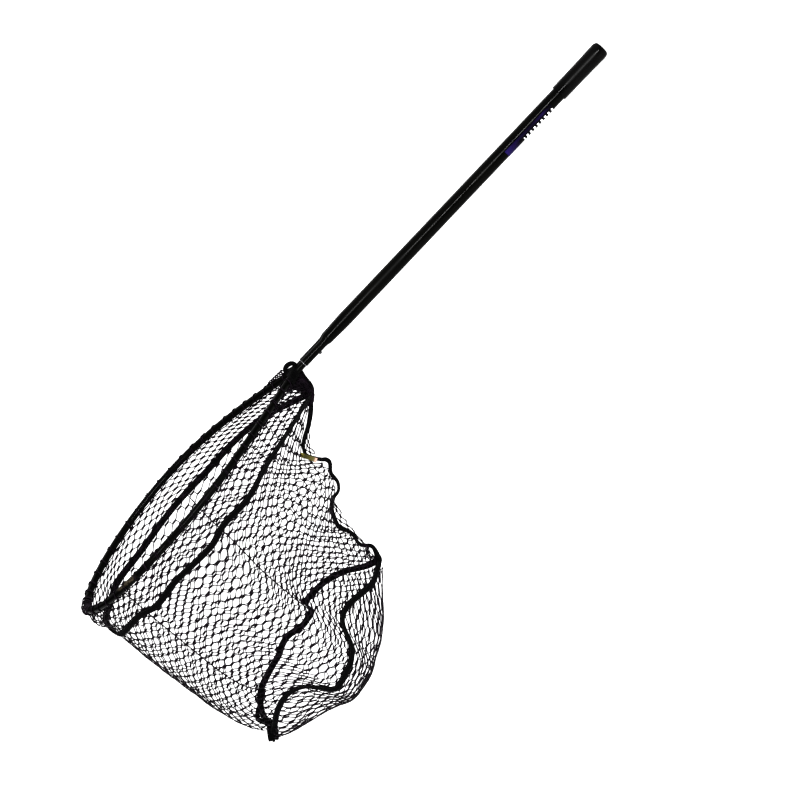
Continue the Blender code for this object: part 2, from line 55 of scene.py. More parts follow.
def mm(table, first=0):
    """A table in metres, from one whose rows are in millimetres after their first so many numbers."""
    return [(*row[:first], *(round(value / 1000, 7) for value in row[first:])) for row in table]


NECK_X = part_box("handle_tube")[0].x
TUBE_RADIUS, TUBE_WALL = 0.0127, 0.0009
NECK_HEIGHT, NECK_STRAIGHT, NECK_STEEP, NECK_TAPER, STEEP_SHARE = 0.0150, 0.048, 0.062, 0.105, 0.66
TUBE_END_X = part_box("handle_tube")[1].x
GAP = 0.0003
SHANK_Y, SHANK_DEPTH, SHANK_BLEND = 0.0075, 0.047, 0.006
BUTTON_X, BUTTON_HOLE_RADIUS = NECK_X + 0.034, 0.0034
HOOP_RADIUS, HOOP_WALL = 0.00635, 0.0012
HOOP_TIP, HOOP_WIDE, HOOP_YOKE, HOOP_HALF_WIDTH = 0.564, 0.325, 0.018, 0.213
HOOP_RISE, HOOP_DROOP = 0.036, 0.139
WALL_WIDE = 0.328
UPPER_SEAM = {-1: mm([(0, -74), (0.15, -84), (0.47, -69), (0.59, -73), (0.76, -62), (1, -62), (1.13, -53),
    (1.32, -56), (1.54, -48), (2, -46)], 1),
    1: mm([(0, -74), (0.1, -64), (0.26, -64), (0.45, -55), (0.69, -56), (0.94, -49), (1.22, -45), (1.46, -36),
    (1.69, -33), (2, -46)], 1)}
LOWER_SEAM = {-1: mm([(0, -410), (0.28, -383), (0.47, -363), (0.62, -355), (0.71, -356), (0.78, -371),
    (0.84, -398), (0.89, -406), (0.98, -398), (1.16, -372), (1.26, -340), (1.35, -329), (1.5, -329),
    (1.8, -346), (2, -341)], 1),
    1: mm([(0, -410), (0.05, -388), (0.26, -374), (0.42, -362), (0.74, -351), (0.95, -353), (1.04, -336),
    (1.12, -326), (1.43, -323), (1.7, -335), (2, -341)], 1)}
WALL_TIP = mm([(0, 561), (0.3, 556), (0.55, 549), (0.75, 543), (0.9, 533), (1, 514)], 1)
WALL_REAR = mm([(0, 26), (0.05, 48), (0.11, 78), (0.18, 106), (0.25, 115), (0.36, 99), (0.42, 103), (0.5, 120),
    (0.58, 150), (0.67, 162), (0.78, 158), (1, 161)], 1)
WALL_HALF_WIDTH = mm([(0, 211), (0.3, 201), (0.6, 178), (1, 140)], 1)
FLOOR_KEEL = mm([(165, -352), (200, -385), (228, -414), (272, -444), (355, -464), (430, -448), (485, -432),
    (514, -416)])
FLOOR_SAG_POWER = 2.2
# How far the lower seam is drawn aside by the slack: (station, ahead, height) down each side
SEAM_PULL = {-1: mm([(0, -11, -4), (0.15, -16.5, -3), (0.37, -15, -1), (0.56, -13.5, -1), (0.64, -12.5, -5),
    (0.71, -10.5, -11.5), (0.77, -6, -13), (0.85, -5.5, -5.5), (0.91, -6.5, 1.5), (1.05, -6.5, -1.5),
    (1.2, -4, -3.5), (1.32, -2, -2.5), (1.44, 1, -1.5), (1.66, 1, -1), (1.89, 3, -1), (2, -1, 1)], 1),
    1: mm([(0, -11, -4), (0.05, -19, -6), (0.15, -12.5, -10), (0.28, -5.5, -8), (0.38, -4, -5.5),
    (0.48, -2, -3), (0.64, -3, -3), (0.71, -4, -2), (0.78, -3, 4.5), (0.85, -1.5, 9), (0.92, -0.5, 5.5),
    (0.98, -2.5, -1.5), (1.04, -8.5, -10), (1.14, 3.5, -1), (1.36, 2.5, 2.5), (1.58, 1, 7.5), (1.68, 0, 9),
    (1.78, 0, 5.5), (1.89, 1, 3), (2, -1, 1)], 1)}
REAR_TAPE = mm([(40, -57.5), (54.5, -69.6), (73.5, -82.4), (96.3, -93.8), (109.3, -105.4), (113, -114.3),
    (110.8, -124.4), (101.6, -139.9), (95.5, -147), (95.5, -155.8), (106.8, -169.7), (110.2, -189.1),
    (120.8, -200.8), (136.5, -203.4), (153.5, -217), (165.3, -245.4), (158.5, -268.1), (162.9, -294.2),
    (151.1, -312), (155.3, -333.2)])
# Slack meshes that stand out behind the rear tape: the line they leave from, then their edge, as (ahead, y, z)
REAR_FLAPS = [
    (mm([(159, -6, -293), (164, -6, -309), (172, -6, -326)]),
     mm([(152, -3, -298.5), (157, -3, -313), (160, -3, -334)]), 5),
    (mm([(56, 1, -70.3), (76.9, 2, -83.8), (95.8, 2, -94.3), (109.6, 2, -107.6), (109.8, 1, -123.4)]),
     mm([(49.6, 3, -67), (69.4, 6, -86.7), (87.9, 8, -102.7), (96.2, 8, -111.8), (99.1, 4, -128.7)]), 9),
    (mm([(144.3, 1, -209), (154.3, 2, -218.7), (164.5, 2, -245.2), (158, 2, -267.6), (162.1, 1, -293)]),
     mm([(135.4, 3, -204.7), (145, 6, -236.4), (148.5, 8, -258.4), (154.1, 6, -288.2),
        (153.7, 3, -308.2)]), 10)]
FRONT_SEAM, MIDDLE_SEAM, NEAR_SPLIT, LAST_ABOUT = 0.42, 1.05, -0.56, 1.995

# --- Sizes of the looks -----------------------------------------------------------------------------

COLUMNS, BAND_COLUMNS = 80, 98  # columns of meshes round the wall and round the upper band
WALL_MESHES, BAND_MESHES = 19, 4  # meshes down the wall and down the upper band
TWINE_RADIUS, BAR_RADIUS, BAR_SPREAD = 0.00083, 0.00108, 0.00095
TWIST = 0.042  # of a turn, by which the wall's netting is twisted from its top to its bottom
BAND_SLANT = 0.46  # of a mesh, by which the band's rows rise or fall at each column, away from its middle
BAND_LEVEL, BAND_EASE = 0.40, 0.25  # shares of the way from the tip to the yoke
BAND_EXTRA = 16  # rows that enter the band away from there
FLOOR_PITCH = (0.0172, 0.0172)  # of the floor's columns, along X, and of its rows
FLOOR_ROWS = 26
FLAP_MESHES = 2
SENSOR, VIEW_WIDTH = 36, 1.384  # of the camera in mm, and of what it shows at the net in metres
TAPE_WIDTH, TAPE_THICKNESS, RIB_STEP = 0.0120, 0.0030, 0.0011
# Where the painted highlight on the near hoop arm starts and stops.
PAINTED_HIGHLIGHT_ENDS = (0.498, 0.010), (0.452, -0.012)  # (ahead, fade along X)
STITCH_LENGTH, STITCH_PITCH, STITCH_RADIUS = 0.0034, 0.0048, 0.00034


# --- The net's shape --------------------------------------------------------------------------------

def curve(table, at):
    """The smooth curve through (position, value) pairs, read at an array of positions."""
    xs, ys = np.array(table, float).T
    last = len(xs) - 1
    low, high = np.maximum(np.arange(last + 1) - 1, 0), np.minimum(np.arange(last + 1) + 1, last)
    slopes = (ys[high] - ys[low]) / (xs[high] - xs[low])
    at = np.clip(at, xs[0], xs[-1])
    i = np.clip(np.searchsorted(xs, at, side="right") - 1, 0, last - 1)
    width = xs[i + 1] - xs[i]
    s = (at - xs[i]) / width
    return ((2 * s**3 - 3 * s**2 + 1) * ys[i] + (s**3 - 2 * s**2 + s) * width * slopes[i]
            + (3 * s**2 - 2 * s**3) * ys[i + 1] + (s**3 - s**2) * width * slopes[i + 1])


def plan(tip, wide, rear, half_width, about):
    """(x, y) on an outline that is a half ellipse at the tip and draws in along a cosine to the rear."""
    station, side = np.abs(about), np.where(about < 0, -1.0, 1.0)
    front, back = station * math.pi / 2, (station - 1) * math.pi / 2
    ahead = np.where(station <= 1, wide + (tip - wide) * np.cos(front), wide + (rear - wide) * (station - 1))
    y = side * half_width * np.where(station <= 1, np.sin(front), np.cos(back))
    return NECK_X - ahead, y


def stacked(*values):
    return np.stack(np.broadcast_arrays(*values), axis=-1)


def unit(vectors):
    return vectors / np.maximum(np.linalg.norm(vectors, axis=-1, keepdims=True), 1e-12)


def distances(points):
    """How far along a path each of its points lies."""
    return np.concatenate([[0], np.cumsum(np.linalg.norm(np.diff(points, axis=0), axis=1))])


def read(at, run, path):
    """A path of vectors, read at other distances along it."""
    return np.stack([np.interp(at, run, path[:, k]) for k in range(3)], -1)


def inner(share, rate):
    """0 at either end of a share, rising to 1 inside it."""
    return np.clip(np.minimum(share, 1 - share) * rate, 0, 1)


def by_side(tables, about):
    """A table's value on the side that a place is on."""
    station = np.abs(about)
    return np.where(about < 0, curve(tables[-1], station), curve(tables[1], station))


def hoop(about):
    """The hoop's centre line."""
    x, y = plan(HOOP_TIP, HOOP_WIDE, HOOP_YOKE, HOOP_HALF_WIDTH, about)
    station, side = np.abs(about), np.where(about < 0, -1.0, 1.0)
    over = (np.abs(y) * np.where(station <= 2, 1, -1) - SHANK_Y) / SHANK_BLEND
    y = np.where(station > 1, side * (SHANK_Y + SHANK_BLEND * np.logaddexp(0, over)), y)
    beyond = np.maximum(NECK_X - x - HOOP_YOKE, 0)
    return stacked(x, y, HOOP_RISE * beyond - HOOP_DROOP * beyond**2)


def seam_pull(about, share):
    """The slack's pull on the net at a place about it, a share of that at the lower seam."""
    ahead, rise = (by_side({side: [(row[0], row[k]) for row in rows] for side, rows in SEAM_PULL.items()}, about)
                   for k in (1, 2))
    return stacked(-ahead, 0.0, rise) * np.asarray(share)[..., None]


def wall(about, depth):
    """The bag's wall, depth 0 at the upper seam and 1 at the lower one."""
    top, bottom = by_side(UPPER_SEAM, about), by_side(LOWER_SEAM, about)
    x, y = plan(curve(WALL_TIP, depth), WALL_WIDE, curve(WALL_REAR, depth), curve(WALL_HALF_WIDTH, depth), about)
    return stacked(x, y, top + (bottom - top) * depth) + seam_pull(about, np.clip(depth * 2.5 - 1.5, 0, 1) ** 2)


def band(about, depth):
    """The band between the hoop, depth 0, and the upper seam, 1."""
    depth = np.asarray(depth)[..., None] if np.ndim(depth) else depth
    top = hoop(np.clip(about, -2, 2)) - np.array([0, 0, HOOP_RADIUS + 0.0030])
    return top + (wall(about, 0) - top) * depth


def floor_at(x, across):
    """The sagging floor: across runs from -1 at the -Y seam to +1 at the +Y one."""
    ahead = NECK_X - x
    rear, tip, half = WALL_REAR[-1][1], WALL_TIP[-1][1], WALL_HALF_WIDTH[-1][1]
    front = np.arccos(np.clip((ahead - WALL_WIDE) / (tip - WALL_WIDE), 0, 1)) / (math.pi / 2)
    back = 1 + np.clip((WALL_WIDE - ahead) / (WALL_WIDE - rear), 0, 1)
    station = np.where(ahead > WALL_WIDE, front, back)
    width = half * np.where(ahead > WALL_WIDE, np.sin(front * math.pi / 2), np.cos((back - 1) * math.pi / 2))
    near, far = curve(LOWER_SEAM[-1], station), curve(LOWER_SEAM[1], station)
    middle, rim = (near + far) / 2, near + (far - near) * (across + 1) / 2
    lowest = np.minimum(curve(FLOOR_KEEL, ahead), middle - 0.004)
    z = rim + (lowest - middle) * (1 - np.abs(across) ** FLOOR_SAG_POWER)
    pull = seam_pull(np.where(across < 0, -station, station), np.abs(across) ** 4)
    return stacked(x, width * across, z) + pull, width


def wander(seed, *at, waves=7, shortest=3.0, longest=14.0):
    """A smooth random value about 0, within 1, at lattice places. The same each run."""
    draw = np.random.default_rng(seed)
    total = 0
    for _ in range(waves):
        length, way = draw.uniform(shortest, longest), draw.uniform(0, math.tau)
        run = math.tau / length
        total = total + np.sin(at[0] * run * math.cos(way) + at[-1] * run * math.sin(way) + draw.uniform(0, math.tau))
    return total / waves * 1.6


class Round:
    """Turns a share of the way round the net into a place about it, even along the net at each depth."""

    def __init__(self, shape, depths, steps=400):
        self.depths = np.array(depths, float)
        about = np.linspace(-LAST_ABOUT, LAST_ABOUT, steps)
        self.shares = np.linspace(0, 1, steps)
        rows = []
        for depth in self.depths:
            points = shape(about, np.full(steps, depth))
            run = distances(points)
            rows.append(np.interp(self.shares, run / run[-1], about))
        self.rows = np.array(rows)

    def about(self, share, depth):
        share, depth = np.broadcast_arrays(share, depth)
        at = np.interp(depth, self.depths, np.arange(len(self.depths)))
        low = np.clip(at.astype(int), 0, len(self.depths) - 2)
        every = np.stack([np.interp(share, self.shares, row) for row in self.rows])
        above, below = (np.take_along_axis(every, (low + k)[None], 0)[0] for k in (0, 1))
        return above + (below - above) * (at - low)


class Shape:
    """Points and faces gathered into one mesh."""

    def __init__(self):
        self.points, self.faces, self.count, self.along = [], [], 0, []

    def add(self, points, *face_sets):
        points = np.asarray(points, float).reshape(-1, 3)
        for faces in face_sets:
            self.faces.append(np.asarray(faces, int).reshape(len(faces), -1) + self.count)
        self.points.append(points)
        self.count += len(points)

    def grid(self, points, closed=False):
        """Rings of points [rows, columns, 3] joined by quads, and capped at both ends unless closed."""
        rows, columns = points.shape[:2]
        index = np.arange(rows * columns).reshape(rows, columns)
        low, high = (index, np.roll(index, -1, 0)) if closed else (index[:-1], index[1:])
        quads = np.stack([low, np.roll(low, -1, 1), np.roll(high, -1, 1), high], -1).reshape(-1, 4)
        self.add(points, quads, *([] if closed else [index[:1, ::-1], index[-1:]]))

    def strap(self, path, across, width, thickness, rib=0.07, sides=16, step=RIB_STEP):
        """A woven strap along a path, its width along `across`. Every other rib of the weave stands proud."""
        run = distances(path)
        at = np.arange(0, run[-1], step)
        centre, across = read(at, run, path), read(at, run, np.broadcast_to(across, path.shape))
        width, thickness = (np.interp(at, run, np.broadcast_to(v, run.shape)) for v in (width, thickness))
        ahead = unit(np.gradient(centre, axis=0))
        across = unit(across - ahead * np.sum(across * ahead, axis=1, keepdims=True))
        out = np.cross(ahead, across)
        turn = np.linspace(0, math.tau, sides, endpoint=False)
        over, up = (np.sign(f(turn)) * np.abs(f(turn)) ** power for f, power in ((np.cos, 0.45), (np.sin, 0.7)))
        proud = np.where(np.arange(len(at)) % 2, 1, -1)
        edge = (width / 2 - 0.00010 * proud)[:, None, None]
        rise = (thickness / 2 * (1 + rib * proud))[:, None, None]
        self.grid(centre[:, None] + edge * across[:, None] * over[:, None] + rise * out[:, None] * up[:, None])
        self.along.append(stacked(at[:, None], over * width[:, None] / 2, up).reshape(-1, 3))

    def stitches(self, path, across, offset, lift):
        """A row of stitches that lies on a strap's face, offset from its middle."""
        run = distances(path)
        starts = np.arange(STITCH_PITCH, run[-1] - STITCH_PITCH, STITCH_PITCH)
        at = starts[:, None] + np.array([0, 0.12, 0.5, 0.88, 1]) * STITCH_LENGTH
        centre, wide, ahead = (read(at, run, v) for v in (path, across, np.gradient(path, axis=0)))
        ahead = unit(ahead)
        wide = unit(wide - ahead * np.sum(wide * ahead, axis=-1, keepdims=True))
        out = np.cross(ahead, wide)
        rise = lift + np.array([-0.00045, 0.00008, 0.00016, 0.00008, -0.00045])
        tubes(self, centre + wide * offset + out * rise[None, :, None], out, STITCH_RADIUS, sides=5)

    def made(self, name, look, slot, replaces=(), body="hoop", sharp=None, turn_out=True):
        mesh = bpy.data.meshes.new(name)
        points = np.concatenate(self.points)
        mesh.vertices.add(len(points))
        mesh.vertices.foreach_set("co", points.astype(np.float32).ravel())
        sizes = np.concatenate([np.full(len(f), f.shape[1]) for f in self.faces])
        mesh.loops.add(int(sizes.sum()))
        mesh.polygons.add(len(sizes))
        mesh.polygons.foreach_set("loop_start", np.concatenate([[0], np.cumsum(sizes)[:-1]]).astype(np.int32))
        mesh.loops.foreach_set("vertex_index", np.concatenate([f.ravel() for f in self.faces]).astype(np.int32))
        mesh.update(calc_edges=True)
        mesh.validate()
        if turn_out:
            builder = bmesh.new()
            builder.from_mesh(mesh)
            bmesh.ops.recalc_face_normals(builder, faces=builder.faces)
            builder.to_mesh(mesh)
            builder.free()
        if self.along:
            marks = mesh.attributes.new("along", "FLOAT_VECTOR", "POINT")
            marks.data.foreach_set("vector", np.concatenate(self.along).astype(np.float32).ravel())
        mesh.materials.append(look)
        mesh.shade_smooth()
        if sharp:
            mesh.set_sharp_from_angle(angle=math.radians(sharp))
        obj = bpy.data.objects.new(name, mesh)
        bpy.context.scene.collection.objects.link(obj)
        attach(obj, body)
        if replaces:
            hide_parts(*replaces)
        return obj


def tubes(shape, paths, normals, radii, sides=6):
    """Round tubes along many paths [paths, points, 3] at once, each with its surface's normal for a frame."""
    runs = unit(np.gradient(paths, axis=1))
    across = unit(np.cross(runs, normals))
    out = np.cross(across, runs)
    turn = np.linspace(0, math.tau, sides, endpoint=False)[:, None]
    radii = np.broadcast_to(radii, paths.shape[:2])[..., None, None]
    rings = paths[:, :, None] + radii * (across[:, :, None] * np.cos(turn) + out[:, :, None] * np.sin(turn))
    index = np.arange(rings[..., 0].size).reshape(rings.shape[:3])
    low, high = index[:, :-1], index[:, 1:]
    quads = np.stack([low, np.roll(low, -1, 2), np.roll(high, -1, 2), high], -1).reshape(-1, 4)
    shape.add(rings, quads, index[:, 0, ::-1], index[:, -1])


def tube(shape, path, normal, radius):
    tubes(shape, path[None], np.broadcast_to(normal, path.shape)[None], radius)


# --- Netting ----------------------------------------------------------------------------------------

def mesh_wave(u, bar):
    """-1 on the bars of even columns, +1 on those of odd ones, and straight between, with soft corners."""
    away = np.abs((u + 1) % 2 - 1)
    total = 0
    for shift in (-0.05, 0, 0.05):
        total = total + np.clip((away + shift - bar / 2) / (1 - bar), 0, 1)
    return total / 3 * 2 - 1


def twines(shape, place, first, last, meshes, bar=0.62, keep=None):
    """The knotless netting between two columns: each twine lies beside its neighbours on the bars in turn.

    place(u, v) gives points and normals at columns u and rows v. keep(u, v) says what lies inside.
    """
    offsets = np.array([0, 0.5 * bar - 0.10, 0.5 * bar, 0.5 * bar + 0.11, 0.5])
    spots = np.concatenate([[k - x for x in offsets[:0:-1]] + [k + x for x in offsets[:-1]]
                            for k in range(math.floor(first) - 1, math.ceil(last) + 2)])
    spots = np.unique(np.clip(spots, first, last))
    levels = np.arange(2 * meshes)
    sign = np.where(levels % 2 == 0, 1.0, -1.0)[:, None]
    u = np.broadcast_to(spots, (len(levels), len(spots)))
    wave = mesh_wave(u, bar)
    v = (levels[:, None] + 0.5) / 2 + sign * wave / 4
    points, normals = place(u, v)
    ahead, _ = place(u, v + 0.02)
    behind, _ = place(u, v - 0.02)
    down = unit(ahead - behind)
    points = points - down * (wave * sign * BAR_SPREAD)[..., None]
    on_bar = np.abs(wave) ** 6
    radii = TWINE_RADIUS + (BAR_RADIUS - TWINE_RADIUS) * on_bar
    if keep is None:
        tubes(shape, points, normals, radii)
        return
    inside = keep(u, v)
    for k in range(len(levels)):
        edges = np.flatnonzero(np.diff(np.concatenate([[0], inside[k].astype(int), [0]])))
        for start, end in zip(edges[::2], edges[1::2]):
            if end - start > 2:
                tubes(shape, points[k:k + 1, start:end], normals[k:k + 1, start:end], radii[k:k + 1, start:end])


def surface(shape_of, u, v):
    """Points and outward normals of a surface given by a function of (u, v)."""
    step = 0.05
    point = shape_of(u, v)
    over = shape_of(u + step, v) - shape_of(u - step, v)
    down = shape_of(u, v + step) - shape_of(u, v - step)
    return point, unit(np.cross(over, down))


WALL_ROUND = Round(wall, [0, 0.15, 0.3, 0.45, 0.6, 0.8, 1])


def share_of(about):
    """The share of the way round the upper seam at which a place lies."""
    return float(np.interp(about, WALL_ROUND.rows[0], WALL_ROUND.shares))


def outward(point):
    """The level direction away from the bag's middle."""
    return unit((point - np.array([NECK_X - WALL_WIDE, 0, 0])) * np.array([1, 1, 0]))


def wall_net(u, v):
    """The wall's netting at column u, row v: the wall, with the slack of real netting."""
    share, down = u / COLUMNS, np.clip(v / WALL_MESHES, -0.02, 1.02)
    depth = down * (1.12 - 0.12 * down)
    ease = inner(depth, 8)
    rear = np.abs(share - 0.5) * 2
    sway_u, sway_v = ((wander(seed, u, v) * wide + wander(seed + 2, u, v, shortest=2.2, longest=5) * fine)
                      * ease * (0.65 + 0.35 * rear**3) for seed, wide, fine in ((3, 0.20, 0.08), (4, 0.18, 0.07)))
    depth = np.clip(depth + sway_v / WALL_MESHES, 0, 1)
    shift = sway_u / COLUMNS - TWIST * depth * (1 - rear**4)
    point = wall(WALL_ROUND.about(np.clip(share + shift, 0, 1), depth), depth)
    puff = (wander(7, u, v, shortest=5, longest=16) * 0.0020 + wander(8, u, v, shortest=2, longest=4) * 0.0008) * ease
    return point + outward(point) * puff[..., None]


def band_drop(u):
    """How many meshes the band's rows lie below where they run level, a third of the way from the tip."""
    away = np.abs(u / BAND_COLUMNS * 2 - 1) - BAND_LEVEL
    return BAND_SLANT * BAND_COLUMNS / 2 * BAND_EASE * np.log(np.cosh(away / BAND_EASE))


def band_depth(u, v):
    """The depth in the upper band of the lattice's row v."""
    return (v - BAND_EXTRA + band_drop(u)) / BAND_MESHES


def band_net(u, v):
    """The band's netting at column u, row v. It stands out a little round the tip."""
    share, depth = u / BAND_COLUMNS, np.clip(band_depth(u, v), 0, 1)
    ease = inner(depth, 4)
    sway = wander(13, u, v, shortest=2.2, longest=7) * 0.26 * ease
    about = WALL_ROUND.about(np.clip(share + sway / BAND_COLUMNS, 0, 1), np.zeros_like(share))
    depth = np.clip(depth + wander(14, u, v, shortest=2.2, longest=6) * 0.24 * ease / BAND_MESHES, 0, 1)
    point = band(about, depth)
    puff = wander(17, u, v, shortest=3, longest=9) * 0.0018 * ease
    puff = puff + 0.0125 * np.exp(-(about / 0.22) ** 2) * np.sin(np.clip(0.12 + depth * 1.1, 0, 1) * math.pi)
    return point + outward(point) * puff[..., None]


def band_inside(u, v):
    depth = band_depth(u, v)
    return (depth > -0.03) & (depth < 1.03)


class FloorSections:
    """How far across the floor a run of netting reaches, at each place ahead."""

    def __init__(self):
        self.ahead = np.linspace(WALL_REAR[-1][1] + 0.001, WALL_TIP[-1][1] - 0.001, 90)
        self.runs = np.linspace(0, 0.24, 240)
        across = np.linspace(0, 1, 120)
        rows, self.lengths = [], []
        for ahead in self.ahead:
            points, _ = floor_at(np.full(120, NECK_X - ahead), across)
            run = distances(points[:, 1:])
            rows.append(np.interp(self.runs, run, across))
            self.lengths.append(run[-1])
        self.rows = np.array(rows)

    def across(self, ahead, run):
        i = np.clip((ahead - self.ahead[0]) / (self.ahead[-1] - self.ahead[0]), 0, 1) * (len(self.ahead) - 1.001)
        j = np.clip(np.abs(run) / self.runs[-1], 0, 1) * (len(self.runs) - 1.001)
        low_i, low_j = i.astype(int), j.astype(int)
        part_i, part_j = i - low_i, j - low_j
        near = self.rows[low_i, low_j] * (1 - part_j) + self.rows[low_i, low_j + 1] * part_j
        far = self.rows[low_i + 1, low_j] * (1 - part_j) + self.rows[low_i + 1, low_j + 1] * part_j
        return np.sign(run) * (near * (1 - part_i) + far * part_i)

    def inside(self, ahead, run):
        return (np.abs(run) < np.interp(ahead, self.ahead, self.lengths) - 0.002) & (ahead > 0.163) & (ahead < 0.512)


FLOOR_SECTIONS = FloorSections()


def floor_net(u, v):
    ahead = WALL_REAR[-1][1] + (u + wander(24, u, v, shortest=2.4, longest=9) * 0.22) * FLOOR_PITCH[0]
    run = (v - FLOOR_ROWS / 2 + wander(23, u, v, shortest=2.4, longest=9) * 0.24) * FLOOR_PITCH[1]
    point, _ = floor_at(NECK_X - ahead, FLOOR_SECTIONS.across(ahead, run))
    return point + np.array([0, 0, -0.0012])


def floor_inside(u, v):
    return FLOOR_SECTIONS.inside(WALL_REAR[-1][1] + u * FLOOR_PITCH[0], (v - FLOOR_ROWS / 2) * FLOOR_PITCH[1])


def flap(inside, outside, columns):
    """Places on a strip of slack netting, FLAP_MESHES wide, between two lines."""
    lines = [curve_path(points, 200) for points in (inside, outside)]

    def place(u, v):
        near, far = (read(u / columns, np.linspace(0, 1, 200), line) for line in lines)
        point = near + (far - near) * (v / FLAP_MESHES)[..., None]
        sway = stacked(*(wander(seed, u, v, shortest=2, longest=5) * reach
                         for seed, reach in ((83, 1), (84, 1.5), (85, 1)))) * 0.0012
        return point + sway, np.broadcast_to([0, -1.0, 0], point.shape)

    return place


def build_netting(look):
    def panel(node, piece, place, span, meshes, keep=None, flaps=()):
        shape = Shape()
        twines(shape, lambda u, v: surface(place, u, v), *span, meshes, keep=keep)
        for inside, outside, columns in flaps:
            twines(shape, flap(inside, outside, columns), 0.2, columns - 0.2, FLAP_MESHES)
        made = shape.made(piece, look, "netting_black", [node], turn_out=False)

    for name, start, end in (("near", -LAST_ABOUT, NEAR_SPLIT), ("tip", NEAR_SPLIT, FRONT_SEAM),
                             ("far_front", FRONT_SEAM, MIDDLE_SEAM), ("far_rear", MIDDLE_SEAM, LAST_ABOUT)):
        first, last = share_of(start) * COLUMNS, share_of(end) * COLUMNS
        panel("side_net_" + name, "wall_netting_" + name, wall_net, (first, last), WALL_MESHES,
              flaps=REAR_FLAPS if name == "near" else ())
    for name, start, end in (("near", 0.6, BAND_COLUMNS / 2), ("far", BAND_COLUMNS / 2, BAND_COLUMNS - 0.6)):
        panel("upper_net_" + name, "band_netting_" + name, band_net, (start, end), BAND_MESHES + BAND_EXTRA,
              band_inside)
    columns = (WALL_TIP[-1][1] - WALL_REAR[-1][1]) / FLOOR_PITCH[0]
    panel("bottom_net", "floor_netting", floor_net, (0.2, columns - 0.2), FLOOR_ROWS, keep=floor_inside)


# --- Hoop -------------------------------------------------------------------------------------------

def ring_grid(path, radius, sides=40):
    """Rings square to a path that runs nearly level."""
    ahead = unit(np.gradient(path, axis=0))
    side = unit(np.cross(ahead, [0, 0, 1.0]))
    up = np.cross(side, ahead)
    turn = np.linspace(0, math.tau, sides, endpoint=False)[:, None]
    return path[:, None] + radius * (side[:, None] * np.cos(turn) + up[:, None] * np.sin(turn))


def bored(obj, cutter):
    """Cuts a shape out of an object and clears it away."""
    modifier = obj.modifiers.new("bore", "BOOLEAN")
    modifier.operation, modifier.solver, modifier.object = "DIFFERENCE", "EXACT", cutter
    graph = bpy.context.evaluated_depsgraph_get()
    mesh = bpy.data.meshes.new_from_object(obj.evaluated_get(graph))
    obj.modifiers.clear()
    obj.data = mesh
    bpy.data.objects.remove(cutter)


def cutter_of(outline, low, high):
    """A prism over an outline in plan, which runs anticlockwise."""
    count = len(outline)
    faces = [(k, (k + 1) % count, (k + 1) % count + count, k + count) for k in range(count)]
    faces += [tuple(reversed(range(count))), tuple(range(count, 2 * count))]
    obj = bpy.data.objects.new("cutter", bpy.data.meshes.new("cutter"))
    obj.data.from_pydata([(x, y, z) for z in (low, high) for x, y in outline], [], faces)
    bpy.context.scene.collection.objects.link(obj)
    return obj


def round_outline(x, y, radius, steps=32, half=False):
    turns = np.linspace(-math.pi / 2, math.pi / 2, steps) if half else np.linspace(0, math.tau, steps, False)
    return [(x + radius * math.cos(a), y + radius * math.sin(a)) for a in turns]


def build_hoop(look):
    about = np.concatenate([np.linspace(-2.1, -1.7, 60, False), np.linspace(-1.7, 1.7, 420, False),
                            np.linspace(1.7, 2.1, 61)])
    ends = [np.array([[NECK_X + SHANK_DEPTH, side * SHANK_Y, 0]]) for side in (-1, 1)]
    path = np.concatenate([ends[0], hoop(about), ends[1]])
    rings = np.concatenate([ring_grid(path, HOOP_RADIUS), ring_grid(path, HOOP_RADIUS - HOOP_WALL)[::-1]])
    shape = Shape()
    shape.grid(rings, closed=True)
    piece = shape.made("hoop_tubing", look, "hoop_black", ["hoop_tube"], sharp=40)
    bored(piece, cutter_of(round_outline(BUTTON_X, -SHANK_Y, BUTTON_HOLE_RADIUS), -0.009, -0.001))


